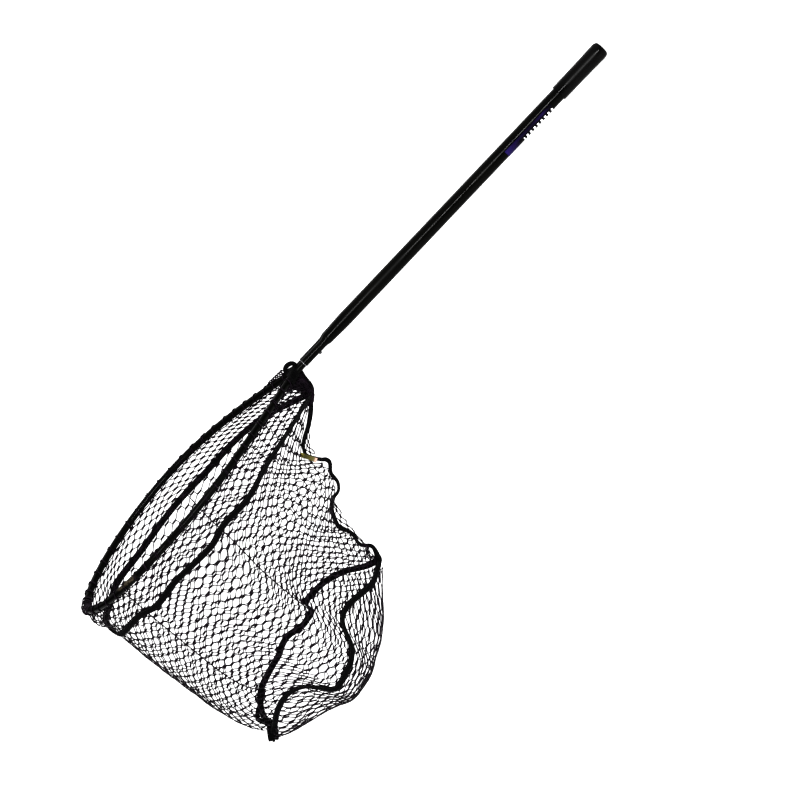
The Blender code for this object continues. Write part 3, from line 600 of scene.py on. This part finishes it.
def build_wraps(look):
    """The net's top meshes, each turned once round the hoop, and looser round the tip."""
    shape = Shape()
    draw = np.random.default_rng(31)
    # They crowd together at the tip.
    turned = [u for u in range(2, BAND_COLUMNS - 1) if u % 2 == 0 or abs(u - BAND_COLUMNS / 2) < 3]
    turn = np.linspace(-0.56 * math.pi, 1.56 * math.pi, 30)
    low = np.clip(np.abs(turn - math.pi / 2) / math.pi - 0.9, 0, 1)
    for u in turned:
        station = abs(float(WALL_ROUND.about(u / BAND_COLUMNS, 0.0)))
        slack = draw.uniform(0.0, 0.0004) + 0.0007 * math.exp(-(station / 0.3) ** 2)
        out_slack = 0.0038 * math.exp(-(station / 0.16) ** 2) * draw.uniform(0.5, 1.1)
        radius = TWINE_RADIUS * (1 + 0.2 * math.exp(-(station / 0.25) ** 2))
        for shift in (0, 1):
            begin, advance = u - 0.28 + 0.07 * shift, draw.uniform(0.45, 1.15)
            share = np.linspace(begin, begin + advance, 30) / BAND_COLUMNS
            place = np.clip(WALL_ROUND.about(share, np.zeros(30)), -LAST_ABOUT, LAST_ABOUT)
            ahead = unit(hoop(place + 0.004) - hoop(place - 0.004))
            side = unit(np.cross(ahead, [0, 0, 1.0]))
            up = np.cross(side, ahead)
            reach = HOOP_RADIUS + 0.0004 + slack + shift * 0.0002
            reach = reach + out_slack * np.maximum(-np.cos(turn), 0) ** 2 + low * 0.016
            ring = side * np.cos(turn)[:, None] + up * np.sin(turn)[:, None]
            tube(shape, hoop(place) + reach[:, None] * ring, ahead, radius)
    # A row of meshes stands loose above the far arm, where the net draws in.
    share = np.linspace(0, 1, 240)
    path = hoop(1.825 + 0.135 * share)
    height = (0.0016 + 0.0078 * share**0.9) * inner(share, 9)
    top = HOOP_RADIUS + 0.0004
    for shift in (0, 1):
        saw = 1 - np.abs((share * 4.6 + shift * 0.5) % 1 * 2 - 1)
        tube(shape, path + stacked(0.0, 0.0022 * (shift * 2 - 1) * saw, top + height * saw), [0, 1.0, 0], BAR_RADIUS)
    rise = height * (0.96 + 0.07 * np.sin(share * 60))
    tube(shape, path + stacked(0.0, 0.0, top + rise), [0, 1.0, 0], TWINE_RADIUS)
    # A running twine gathers the wraps below the tube.
    share = np.linspace(1.0, BAND_COLUMNS - 1.0, 900) / BAND_COLUMNS
    drop = HOOP_RADIUS + 0.0016 - 0.0006 * np.sin(share * BAND_COLUMNS * math.pi)
    path = hoop(WALL_ROUND.about(share, np.zeros(900))) - stacked(0.0, 0.0, drop)
    tube(shape, path, [0, 0, 1.0], TWINE_RADIUS * 1.1)
    shape.made("hoop_wraps", look, "netting_black", ["hoop_sleeve"], turn_out=False)


# --- Handle -----------------------------------------------------------------------------------------

def smooth_step(s):
    s = np.clip(s, 0, 1)
    return s * s * (3 - 2 * s)


def neck_height(ahead):
    rise = 2 * TUBE_RADIUS - NECK_HEIGHT
    steep = smooth_step((ahead - NECK_STRAIGHT) / (NECK_STEEP - NECK_STRAIGHT))
    gentle = smooth_step((ahead - NECK_STEEP) / (NECK_TAPER - NECK_STEEP))
    return NECK_HEIGHT + rise * (STEEP_SHARE * steep + (1 - STEEP_SHARE) * gentle)


def handle_rings(places, inset, steps=32):
    """The tube's sections. Flattening keeps its girth."""
    height = neck_height(places)[:, None]
    flat = np.maximum((math.tau * TUBE_RADIUS - math.pi * height) / 2, 0.0004)
    angle = np.concatenate([np.linspace(-math.pi / 2, math.pi / 2, steps + 1)] * 2)
    way = np.repeat([1.0, -1.0], steps + 1)
    inset = np.broadcast_to(inset, places.shape)[:, None]
    radius = height / 2 - inset
    return stacked(NECK_X + places[:, None], way * (flat / 2 + radius * np.cos(angle)), way * radius * np.sin(angle))


def build_handle(looks):
    length = TUBE_END_X - NECK_X
    places = np.concatenate([[0.0, 0.00025, 0.0006], np.arange(0.002, 0.110, 0.0018), np.linspace(0.12, length, 34)])
    chamfer = np.where(places < 0.0005, 0.00035 - places * 1.4, 0).clip(0)
    outer = handle_rings(places, chamfer)
    inner = handle_rings(places, TUBE_WALL - chamfer)[::-1]
    shape = Shape()
    shape.grid(np.concatenate([outer, inner]), closed=True)
    piece = shape.made("handle_tubing", looks["handle"], "handle_black", ["handle_tube"], "handle", sharp=32)
    outline = round_outline(BUTTON_X, -SHANK_Y, BUTTON_HOLE_RADIUS, 24, half=True)
    outline += [(NECK_X - 0.004, -SHANK_Y + BUTTON_HOLE_RADIUS), (NECK_X - 0.004, -SHANK_Y - BUTTON_HOLE_RADIUS)]
    bored(piece, cutter_of(outline, -NECK_HEIGHT, -0.005))

    half = 0.055
    bore = TUBE_RADIUS + GAP
    outline = [(-half, 0.01375), (-half + 0.0002, 0.0142), (-half + 0.0006, 0.01455), (-half + 0.0012, 0.01485),
               (-half + 0.0022, 0.0150)]
    ahead = np.linspace(-half + 0.005, 0.044, 50)
    body = curve([(-half, 0.0150), (-0.042, 0.01505), (-0.020, 0.0151), (0.006, 0.0153), (0.028, 0.0157),
                  (0.044, 0.0161)], ahead)
    body = body + 0.00006 * np.sin(ahead * 310)
    outline += list(zip(ahead, body))
    for k in range(1, 15):
        angle = k / 14 * math.pi / 2
        outline.append((0.044 + 0.0110 * math.sin(angle), 0.0090 + 0.0071 * math.cos(angle) ** 0.8))
    outline += [(half, 0.0070), (half - 0.0003, 0.0035), (half - 0.0004, 0.0006)]
    outline = [(-half, bore)] + outline
    turn = np.linspace(0, math.tau, 96, endpoint=False)
    x, radius = np.array(outline).T
    inside = [(half - 0.0028, 0.0006), (half - 0.0028, bore)]
    x = np.concatenate([x, [p[0] for p in inside]])[:, None]
    radius = np.concatenate([radius, [p[1] for p in inside]])[:, None]
    shape = Shape()
    rings = stacked(x, radius * np.cos(turn), radius * np.sin(turn))
    shape.grid(rings, closed=True)
    shape.made("grip_sleeve", looks["grip"], "grip_vinyl", ["handle_grip"], "handle", sharp=38)


# --- Tapes ------------------------------------------------------------------------------------------

def eased(path):
    """A closed ring's path with the sharp turn between its two ends rounded off."""
    path = path.copy()
    spots = np.r_[-30:0, 0:30]
    for _ in range(40):
        path[spots] = (path[spots - 1] + path[spots] * 2 + path[(spots + 1) % len(path)]) / 4
    return path


def seam_path(depth, out, steps=900):
    """A closed ring round the wall at a depth, moved outward, with the wall's downward directions."""
    about = np.linspace(-2, 2, steps, endpoint=False)
    depth = np.full(steps, depth)
    over = wall(about + 0.01, depth) - wall(about - 0.01, depth)
    down = wall(about, np.clip(depth + 0.02, 0, 1)) - wall(about, np.clip(depth - 0.02, 0, 1))
    return eased(wall(about, depth) + unit(np.cross(over, down)) * out), unit(down)


def sew(name, look, path, wide, offsets, thickness):
    """Rows of stitches on both faces of a strap."""
    sewn = Shape()
    for offset in offsets:
        for face in (1, -1):
            sewn.stitches(path, wide * face, offset, thickness / 2 * 0.93)
    sewn.made(name, look, "thread_black", turn_out=False)


def ring_tape(name, looks, node, depth, seed):
    """A tape sewn round the bag. Its gathers make it thicker at the tip."""
    path, down = seam_path(depth, 0.0022)
    closed, wide = (np.concatenate([ring, ring[:1]]) for ring in (path, down))
    steps = np.arange(len(closed), dtype=float)
    width = TAPE_WIDTH + 0.0005 * wander(seed, steps / 9, steps * 0)
    thick = TAPE_THICKNESS + 0.0005 * wander(seed + 1, steps / 7, steps * 0)
    thick = thick + 0.0038 * np.exp(-((steps / (len(closed) - 1) - 0.5) / 0.028) ** 2)
    closed = closed + stacked(0.0, 0.0, 0.0005 * wander(seed + 2, steps / 8, steps * 0))
    shape = Shape()
    shape.strap(closed, wide, width, thick)
    shape.made(name, looks["webbing"], "tape_black", [node])
    sew(name + "_stitches", looks["thread"], closed, wide, (-0.0040, 0.0040), TAPE_THICKNESS)


def curve_path(points, steps):
    """A smooth path through (ahead, y, z) points."""
    points = np.array(points, float)
    at = np.linspace(0, 1, len(points))
    where = np.linspace(0, 1, steps)
    columns = [curve(list(zip(at, points[:, k])), where) for k in range(3)]
    return np.stack([NECK_X - columns[0], columns[1], columns[2]], -1)


def build_tapes(looks):
    ring_tape("upper_hem_tape", looks, "upper_binding_tape", 0.0, 41)
    ring_tape("lower_hem_tape", looks, "lower_binding_tape", 1.0, 47)

    # The rear seam's tape stands out from the seam like a fin, and twists where the net pulls it.
    table = [(0.0310, 0, -0.0500)] + [(ahead - 0.0012, 0, z) for ahead, z in REAR_TAPE]
    table += [(0.1575, 0, -0.3400), (0.1660, 0, -0.3445)]
    path = curve_path(table, 400)
    run = unit(np.gradient(path, axis=0))
    off = stacked(-run[:, 2], 0.0, run[:, 0])
    steps, still = np.arange(400), np.zeros(400)
    turn = 0.5 * wander(53, steps / 14.0, still)[:, None]
    wide = off * np.cos(turn) + np.array([0, 1.0, 0]) * np.sin(turn)
    shape = Shape()
    shape.strap(path, wide, 0.0070 + 0.0016 * wander(54, steps / 8.0, still), 0.0026)
    # Its last part is doubled with gathered netting, down to the lower tape.
    corner = path[340:] + off[340:] * np.linspace(0.0, -0.0085, 60)[:, None]
    shape.strap(corner, wide[340:], np.linspace(0.003, 0.0165, 60), 0.0034)
    shape.made("rear_hem_tape", looks["webbing"], "tape_black", ["rear_seam_tape"])
    sew("rear_hem_stitches", looks["thread"], path, wide, (0.0,), 0.0024)


def build_lacings(look):
    """The fine lacings that join the panels, threaded round the bars as they go down."""
    depth = np.linspace(0.015, 0.985, 420)
    sway = 0.0006 * np.sin(depth * WALL_MESHES * math.tau) * inner(depth, 12)
    for name, about in (("front", FRONT_SEAM), ("middle", MIDDLE_SEAM)):
        shape = Shape()
        for side, out, radius in ((1, 0.0016, 0.00085), (-1, 0.0004, 0.00070)):
            tube(shape, wall(np.full(420, about), depth) + stacked(side * sway, out, 0.0), [0, 1.0, 0], radius)
        shape.made(name + "_lacing", look, "thread_black", [name + "_wall_seam"], turn_out=False)


def build_yoke(looks):
    """What gathers the net between the arms: the lashing, its loop and the bunched corner below."""
    # Tape wound round both arms where they part.
    turn = np.linspace(0, 7 * math.tau, 1000)
    share = turn / turn[-1]
    ahead = 0.0185 + 0.0165 * share
    apart = SHANK_Y + SHANK_BLEND * np.logaddexp(0, (0.0021 * (ahead - 0.018) / 0.0012 - SHANK_Y) / SHANK_BLEND)
    reach = HOOP_RADIUS + GAP + 0.0010 + 0.0007 * np.sin(share * 19) ** 2
    x = NECK_X - ahead + 0.0016 * np.sin(turn + 0.6)
    y = np.tanh(np.cos(turn) * 4) * (apart + 0.0004) + reach * np.cos(turn)
    path = stacked(x, y, reach * np.sin(turn))
    shape = Shape()
    shape.strap(path, [1.0, 0, 0.1], 0.0062, 0.0017, sides=12)
    shape.made("neck_lashing", looks["webbing"], "tape_black", ["neck_tie"])

    # The loop: doubled tape, standing on the arms.
    top = HOOP_RADIUS + GAP + 0.0014
    angle = np.linspace(-0.25, math.pi + 0.3, 140)
    x = NECK_X - 0.0215 - 0.0100 * np.cos(angle) - 0.0016 * np.sin(angle) ** 2
    z = top + 0.0016 + 0.0082 * np.sin(angle)
    path = stacked(x, -0.002 + 0.0010 * np.sin(angle * 3), z)
    thick = 0.0066 + 0.0016 * np.sin(np.clip(angle, 0, math.pi)) ** 2
    shape = Shape()
    shape.strap(path, [0.25, 1.0, 0], 0.0080, thick, sides=18)
    shape.made("lashing_loop", looks["webbing"], "tape_black", ["tie_loop"])

    # The bunched corner: folds of tape and netting drawn up to the lashing.
    shape = Shape()
    draw = np.random.default_rng(71)
    stations = mm([(19, 1, 8, 12), (23, -9, 9.5, 8.5), (25, -15, 10.8, 8), (27, -27, 11, 8.5),
        (29, -40, 11.5, 8), (35, -52, 9.5, 6), (42, -60, 6, 4.5)])
    share = np.linspace(0, 1, len(stations))
    at = np.linspace(0, 1, 40)
    lines = [curve([(s, row[k]) for s, row in zip(share, stations)], at) for k in range(4)]
    paths = []
    for _ in range(150):
        angle, part = draw.uniform(0, math.tau), math.sqrt(draw.uniform(0.1, 1.0))
        twist = draw.uniform(-1.3, 1.3)
        a = angle + twist * at
        swell = 1 + 0.12 * np.sin(at * draw.uniform(8, 22) + draw.uniform(0, 6))
        paths.append(stacked(NECK_X - lines[0] + part * lines[2] * np.cos(a) * swell,
                             part * lines[3] * np.sin(a) * swell, lines[1]))
    # Meshes that fan from the arms down into the corner.
    for k in range(84):
        side = -1 if k % 2 else 1
        begin = hoop(np.array([side * draw.uniform(1.875, 1.975)]))[0] + [0, 0, -draw.uniform(0.003, 0.007)]
        end = np.array([NECK_X - draw.uniform(0.024, 0.036), side * draw.uniform(0, 0.006),
                        -draw.uniform(0.016, 0.045)])
        sag = draw.uniform(-0.004, 0.002)
        line = begin + (end - begin) * at[:, None] + np.array([-1, 0, 0]) * (sag * np.sin(at * math.pi))[:, None]
        paths.append(line + 0.0008 * np.stack([np.sin(at * 17 + k), np.cos(at * 15 + k), np.sin(at * 12 + k)], -1))
    paths = np.array(paths)
    tubes(shape, paths, np.broadcast_to([0, 1.0, 0.001], paths.shape), 0.00085)
    shape.made("gathered_netting", looks["netting"], "netting_black", ["gathered_corner"], turn_out=False)

    fold = Shape()
    for points, wide, width, thickness in (
            ([(12, -2, 0), (11.8, -3, -8), (14.5, -3, -18), (16, -2, -29), (17.5, -1, -38), (24, 0, -47.5),
             (33, 1, -53), (45, 2, -56)],
             [0.15, 1.0, 0.1], 0.0100, 0.0040),
            ([(30, -4, 1), (33, -6, -9), (35, -7, -20), (33, -6, -33), (30, -4, -44), (33, -2, -54)],
             [0.8, 0.6, 0.1], 0.0085, 0.0034),
            ([(25, 4, 1), (24, 6, -12), (23, 6, -26), (28, 4, -40), (35, 2, -52)],
             [0.9, 0.4, 0.1], 0.0090, 0.0034),
            ([(43, -20, -6), (34, -12, -13), (27, -4, -16), (30, 4, -13), (40, 18, -6)],
             [0.3, 0.2, 1.0], 0.0090, 0.0030)):
        fold.strap(curve_path(mm(points), 150), wide, width, thickness)
    fold.made("gathered_tape", looks["webbing"], "tape_black")


def build_tip_fold(looks):
    """The lower tape's two ends, folded over each other and sewn at the tip."""
    shape = Shape()
    path = curve_path(mm([(460.4, 4, -348.2), (479.3, 3, -360.7), (494.6, 3, -367.4), (505.7, 2, -376),
        (504.1, 1, -385.4), (498.8, 0, -398.8), (499.8, 0, -412.2)]), 160)
    shape.strap(path, [0.1, 1.0, 0.0], 0.0120, 0.0080)
    # Below, the folds lie side by side.
    for shift, start, end in ((-0.0048, 0.1, 1.33), (0.0016, 0.0, 1.42), (0.0076, 0.34, 1.36)):
        path = curve_path([(0.4905 + 0.0175 * s + 0.77 * shift, 0.0, -0.3970 - 0.0212 * s + 0.64 * shift)
                           for s in np.linspace(start, end, 4)], 60)
        ends = np.sqrt(1 - np.abs(np.linspace(-1, 1, 60)) ** 6 * 0.8)
        shape.strap(path, [0.1, 1.0, 0.0], 0.0120 * ends, 0.0076 * ends)
    shape.made("tape_end_fold", looks["webbing"], "tape_black", ["lower_tape_fold"])


def build_label(look):
    """A blank woven label, folded over the rear seam."""
    top, bottom = np.array([NECK_X - 0.1185, -0.0048, -0.1070]), np.array([NECK_X - 0.1065, -0.0048, -0.1350])
    share = np.linspace(0, 1, 60)
    path = top + (bottom - top) * share[:, None]
    path = path - stacked(0.0, 0.0006 * np.sin(share * 7), 0.0)
    run = unit(bottom - top)
    shape = Shape()
    shape.strap(path, [-run[2], 0, run[0]], 0.0080, 0.0010, rib=0.05, sides=14, step=0.0005)
    shape.made("woven_label", look, "label_olive", ["sewn_label"])


# --- Looks ------------------------------------------------------------------------------------------

class Look:
    """A material whose colour, roughness and relief come from nodes."""

    def __init__(self, name, metallic=0.0, specular=0.5, **values):
        self.material = bpy.data.materials.new(name)
        self.material.use_nodes = True
        self.nodes, self.links = self.material.node_tree.nodes, self.material.node_tree.links
        self.shader = self.nodes["Principled BSDF"]
        self.shader.inputs["Metallic"].default_value = metallic
        self.shader.inputs["Specular IOR Level"].default_value = specular
        for socket, value in values.items():
            self.shader.inputs[socket.replace("_", " ").title()].default_value = value

    def node(self, kind, inputs=None, **settings):
        made = self.nodes.new("ShaderNode" + kind)
        for key, value in settings.items():
            setattr(made, key, value)
        for key, value in (inputs or {}).items():
            if hasattr(value, "is_output"):
                self.links.new(value, made.inputs[key])
            else:
                made.inputs[key].default_value = value
        return made

    def at(self, scale=(1, 1, 1), along=False):
        """Places on the piece at rest, or along its weave."""
        if along:
            source = self.node("Attribute", attribute_name="along").outputs["Vector"]
        else:
            source = self.node("TexCoord").outputs["Object"]
        return self.node("Mapping", {"Vector": source, "Scale": scale}).outputs["Vector"]

    def noise(self, scale, stretch=(1, 1, 1), detail=2.0):
        return self.node("TexNoise", {"Vector": self.at(stretch), "Scale": scale,
                                      "Detail": detail}).outputs["Fac"]

    def wave(self, scale, direction="X", distortion=0.0, along=False):
        return self.node("TexWave", {"Vector": self.at(along=along), "Scale": scale, "Distortion": distortion},
                         bands_direction=direction).outputs["Fac"]

    def place(self, along=False):
        return self.node("SeparateXYZ", {"Vector": self.at(along=along)}).outputs

    def ramp(self, fac, *stops):
        """Colours along a factor, as (position, colour) pairs."""
        made = self.node("ValToRGB", {"Fac": fac})
        while len(made.color_ramp.elements) < len(stops):
            made.color_ramp.elements.new(0.5)
        for element, (position, color) in zip(made.color_ramp.elements, stops):
            element.position, element.color = position, (*color, 1)
        return made.outputs["Color"]

    def span(self, fac, low, high, start=0.0, end=1.0):
        return self.node("MapRange", {"Value": fac, "From Min": start, "From Max": end, "To Min": low,
                                      "To Max": high}).outputs["Result"]

    def mix(self, fac, color, other):
        """A colour where the factor is 0 and another where it is 1."""
        return self.node("Mix", {0: fac, 6: color, 7: (*other, 1)}, data_type="RGBA").outputs[2]

    def math(self, operation, a, b=0.0):
        return self.node("Math", {0: a, 1: b}, operation=operation).outputs["Value"]

    def add(self, a, b, share=1.0):
        return self.math("ADD", a, b if share == 1.0 else self.math("MULTIPLY", b, share))

    def times(self, first, *factors):
        for factor in factors:
            first = self.math("MULTIPLY", first, factor)
        return first

    def finish(self, color, roughness, relief=None, distance=0.0):
        self.links.new(color, self.shader.inputs["Base Color"])
        self.links.new(roughness, self.shader.inputs["Roughness"])
        if relief:
            bump = self.node("Bump", {"Height": relief, "Distance": distance})
            self.links.new(bump.outputs["Normal"], self.shader.inputs["Normal"])
        return self.material


def anodised(name, stretch):
    """The tubes' finish: near black, cloudy, and glossy in patches."""
    look = Look(name + "_anodised", specular=0.03)
    wear = look.noise(60, stretch, 4)
    cloud = look.add(look.times(wear, 0.5), look.noise(9, detail=3), 0.5)
    color = look.ramp(cloud, (0.35, (0.0005, 0.0006, 0.0005)), (0.75, (0.0024, 0.0022, 0.0018)))
    place = look.place()
    if name == "handle":
        # The cut end at the neck's mouth is bare metal.
        bare = look.span(place["X"], 1.0, 0.0, NECK_X + 0.0004, NECK_X + 0.0006)
        color = look.mix(bare, color, (0.42, 0.42, 0.44))
        look.links.new(bare, look.shader.inputs["Metallic"])
    else:
        # A brownish highlight is painted into the colour of the near arm, close to the tip, on its upper side that
        # faces the camera.
        ends = [look.span(place["X"], 0, 1, NECK_X - x, NECK_X - x + run) for x, run in PAINTED_HIGHLIGHT_ENDS]
        high = look.span(place["Z"], 0, 1, -0.0125, -0.0100)
        near = look.span(place["Y"], 1, 0, -0.02, 0.02)
        painted_highlight = look.times(*ends, high, near, look.span(look.noise(240), 0.2, 1.0, 0.35, 0.6))
        color = look.mix(painted_highlight, color, (0.034, 0.028, 0.020))
    gloss = look.span(look.noise(5), 0.05, 0.40, 0.42, 0.60)
    return look.finish(color, look.add(gloss, look.span(wear, 0.0, 0.06)), wear, 0.00002)


def film():
    """A blank film: plain violet, and plain pale dashes along its lower edge."""
    look = Look("film", specular=0.03, coat_weight=0.01, coat_roughness=0.05)
    place = look.place()
    share = look.add(look.span(place["X"], 0, 1, -0.193, -0.079), look.noise(60, (1, 8, 8)), 0.12)
    violet = look.ramp(share, (0.0, (0.005, 0.003, 0.020)), (0.06, (0.010, 0.006, 0.042)),
                       (0.20, (0.006, 0.003, 0.022)), (0.36, (0.003, 0.0015, 0.010)), (0.65, (0.0022, 0.0011, 0.006)),
                       (0.88, (0.006, 0.003, 0.021)), (1.0, (0.0015, 0.001, 0.003)))
    low = look.times(look.span(place["Z"], 1, 0, -0.0048, -0.0034), look.span(place["X"], 0, 1, -0.172, -0.160))
    ground = look.mix(low, violet, (0.0008, 0.0006, 0.0012))
    dashes = look.times(look.span(look.wave(36), 0, 1, 0.62, 0.68), look.span(place["Z"], 1, 0, -0.0074, -0.0070),
                        look.span(place["X"], 0, 1, -0.153, -0.152))
    return look.finish(look.mix(dashes, ground, (0.80, 0.80, 0.82)), look.span(look.noise(300), 0.10, 0.22),
                       look.noise(500), 0.00003)


def label_cloth():
    look = Look("label_cloth", specular=0.15, sheen_weight=0.1)
    weave = look.times(look.wave(320, along=True), look.wave(420, "Y", along=True))
    tone = look.ramp(look.span(look.place(along=True)["X"], 0, 1, 0, 0.0305),
                     (0.0, (0.10, 0.085, 0.010)), (0.25, (0.016, 0.015, 0.003)), (0.55, (0.036, 0.032, 0.005)),
                     (0.82, (0.06, 0.052, 0.018)), (0.94, (0.34, 0.22, 0.18)))
    return look.finish(look.mix(look.span(weave, 0.0, 0.35), tone, (0.008, 0.007, 0.002)),
                       look.span(look.noise(900), 0.65, 0.85), weave, 0.00015)


def make_looks():
    looks = {"handle": anodised("handle", (1, 40, 40)), "hoop": anodised("hoop", (12, 12, 12)), "film": film(),
             "label": label_cloth()}

    look = Look("netting", specular=0.05)
    color = look.ramp(look.noise(90), (0.3, (0.0016, 0.0011, 0.0018)), (0.75, (0.0065, 0.0038, 0.0068)))
    looks["netting"] = look.finish(color, look.span(look.noise(400), 0.38, 0.62), look.noise(1500, detail=3), 0.00025)

    look = Look("webbing", specular=0.03, sheen_weight=0.006, sheen_roughness=0.5)
    weave = look.times(look.wave(280, along=True), look.wave(330, "Y", along=True))
    fuzz = look.noise(1800, detail=3)
    color = look.ramp(look.add(weave, fuzz, 0.6), (0.2, (0.0006, 0.0006, 0.0007)), (1.0, (0.0028, 0.0026, 0.0028)))
    looks["webbing"] = look.finish(color, look.span(fuzz, 0.72, 0.95), look.add(weave, fuzz, 0.5), 0.0003)

    look = Look("thread", specular=0.12)
    color = look.ramp(look.noise(700), (0.3, (0.003, 0.0025, 0.003)), (0.8, (0.010, 0.009, 0.010)))
    looks["thread"] = look.finish(color, look.span(look.noise(900), 0.45, 0.7),
                                  look.wave(1400, "DIAGONAL", 1.0), 0.0001)

    look = Look("vinyl", specular=0.04)
    color = look.ramp(look.noise(14, detail=4), (0.3, (0.0008, 0.0008, 0.0008)), (0.8, (0.0026, 0.0024, 0.0024)))
    # Hands have dulled its middle.
    held = look.span(look.math("ABSOLUTE", look.add(look.place()["X"], -0.002)), 0.26, 0.0, 0.032, 0.045)
    gloss = look.add(held, look.span(look.noise(120, (1, 6, 6), 3), 0.04, 0.12))
    looks["grip"] = look.finish(color, gloss, look.add(look.noise(70, (1, 3, 3)), look.noise(900), 0.25), 0.00012)

    look = Look("steel", metallic=1.0)
    color = look.ramp(look.noise(300, (1, 1, 12)), (0.3, (0.050, 0.050, 0.052)), (0.8, (0.11, 0.11, 0.115)))
    looks["steel"] = look.finish(color, look.span(look.noise(500, (1, 1, 14)), 0.22, 0.42),
                                 look.noise(900, (1, 1, 14)), 0.00002)

    look = Look("plug_plastic", specular=0.2)
    color = look.ramp(look.noise(200), (0.3, (0.016, 0.016, 0.016)), (0.8, (0.026, 0.026, 0.026)))
    looks["plug"] = look.finish(color, look.span(look.noise(600), 0.42, 0.6), look.noise(1200), 0.00004)

    look = Look("floor_pale", specular=0.05)
    color = look.ramp(look.noise(0.8), (0.2, (0.93, 0.93, 0.93)), (0.8, (0.96, 0.96, 0.96)))
    looks["floor"] = look.finish(color, look.span(look.noise(4), 0.85, 0.95))
    return looks


# --- Stage ------------------------------------------------------------------------------------------

def build_light(aim):
    """A sky that is bright overhead and dim at the horizon, and softboxes."""
    world = bpy.data.worlds.new("studio")
    world.use_nodes = True
    nodes, links = world.node_tree.nodes, world.node_tree.links
    split = nodes.new("ShaderNodeSeparateXYZ")
    links.new(nodes.new("ShaderNodeTexCoord").outputs["Generated"], split.inputs["Vector"])
    ramp = nodes.new("ShaderNodeValToRGB")
    links.new(split.outputs["Z"], ramp.inputs["Fac"])
    ramp.color_ramp.elements[0].position, ramp.color_ramp.elements[1].position = 0.30, 0.85
    ramp.color_ramp.elements[0].color, ramp.color_ramp.elements[1].color = (0.06, 0.06, 0.06, 1), (1, 1, 1, 1)
    links.new(ramp.outputs["Color"], nodes["Background"].inputs["Color"])
    nodes["Background"].inputs["Strength"].default_value = 1.9
    bpy.context.scene.world = world
    softboxes = (("key", (-0.30, -2.9, 1.25), (2.6, 0.16), 260), ("side", (-2.6, -2.2, 0.9), (0.5, 0.9), 40),
                 ("back", (-0.6, 3.2, 2.6), (2.0, 1.0), 25))
    for name, place, (width, height), power in softboxes:
        light = bpy.data.objects.new(name, bpy.data.lights.new(name, "AREA"))
        light.data.shape = "RECTANGLE"
        light.data.size, light.data.size_y, light.data.energy = width, height, power
        light.location = place
        light.rotation_mode = "QUATERNION"
        light.rotation_quaternion = (aim + Vector((0.3, 0, 0.1)) - Vector(place)).to_track_quat("-Z", "Y")
        bpy.context.scene.collection.objects.link(light)


def build_stage(floor_look):
    scene = bpy.context.scene
    aim, distance = Vector((-0.6283, -0.0338, -0.1622)), 8.0
    elevation, roll = math.radians(11.77), math.radians(46.507)
    ahead = Vector((0, math.cos(elevation), -math.sin(elevation)))
    right, up = Vector((1, 0, 0)), Vector((0, math.sin(elevation), math.cos(elevation)))
    axes = right * math.cos(roll) - up * math.sin(roll), right * math.sin(roll) + up * math.cos(roll), -ahead
    camera = bpy.data.objects.new("camera", bpy.data.cameras.new("camera"))
    scene.collection.objects.link(camera)
    camera.matrix_world = Matrix(axes).transposed().to_4x4()
    camera.location = aim - ahead * distance
    camera.data.sensor_width = SENSOR
    camera.data.lens = SENSOR * distance / VIEW_WIDTH
    camera.data.clip_end = 200
    scene.camera = camera

    floor = bpy.data.objects.new("floor", bpy.data.meshes.new("floor"))
    half = 60
    floor.data.from_pydata([(-half, -half, 0), (half, -half, 0), (half, half, 0), (-half, half, 0)], [], [(0, 1, 2, 3)])
    floor.location.z = -1.6
    floor.data.materials.append(floor_look)
    scene.collection.objects.link(floor)

    build_light(aim)
    scene.view_settings.view_transform = "Standard"
    scene.view_settings.look = "High Contrast"


def dress(node, look):
    """Gives a carried-over CAD node its finished material."""
    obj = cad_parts[node]
    obj.data.materials.clear()
    obj.data.materials.append(look)


def build():
    looks = make_looks()
    build_netting(looks["netting"])
    build_hoop(looks["hoop"])
    build_wraps(looks["netting"])
    build_handle(looks)
    build_tapes(looks)
    build_lacings(looks["thread"])
    build_yoke(looks)
    build_tip_fold(looks)
    build_label(looks["label"])
    for node, look in (("handle_decal", "film"), ("butt_plug", "plug"), ("snap_button", "steel"),
                       ("button_spring", "steel")):
        dress(node, looks[look])
    build_stage(looks["floor"])


build()
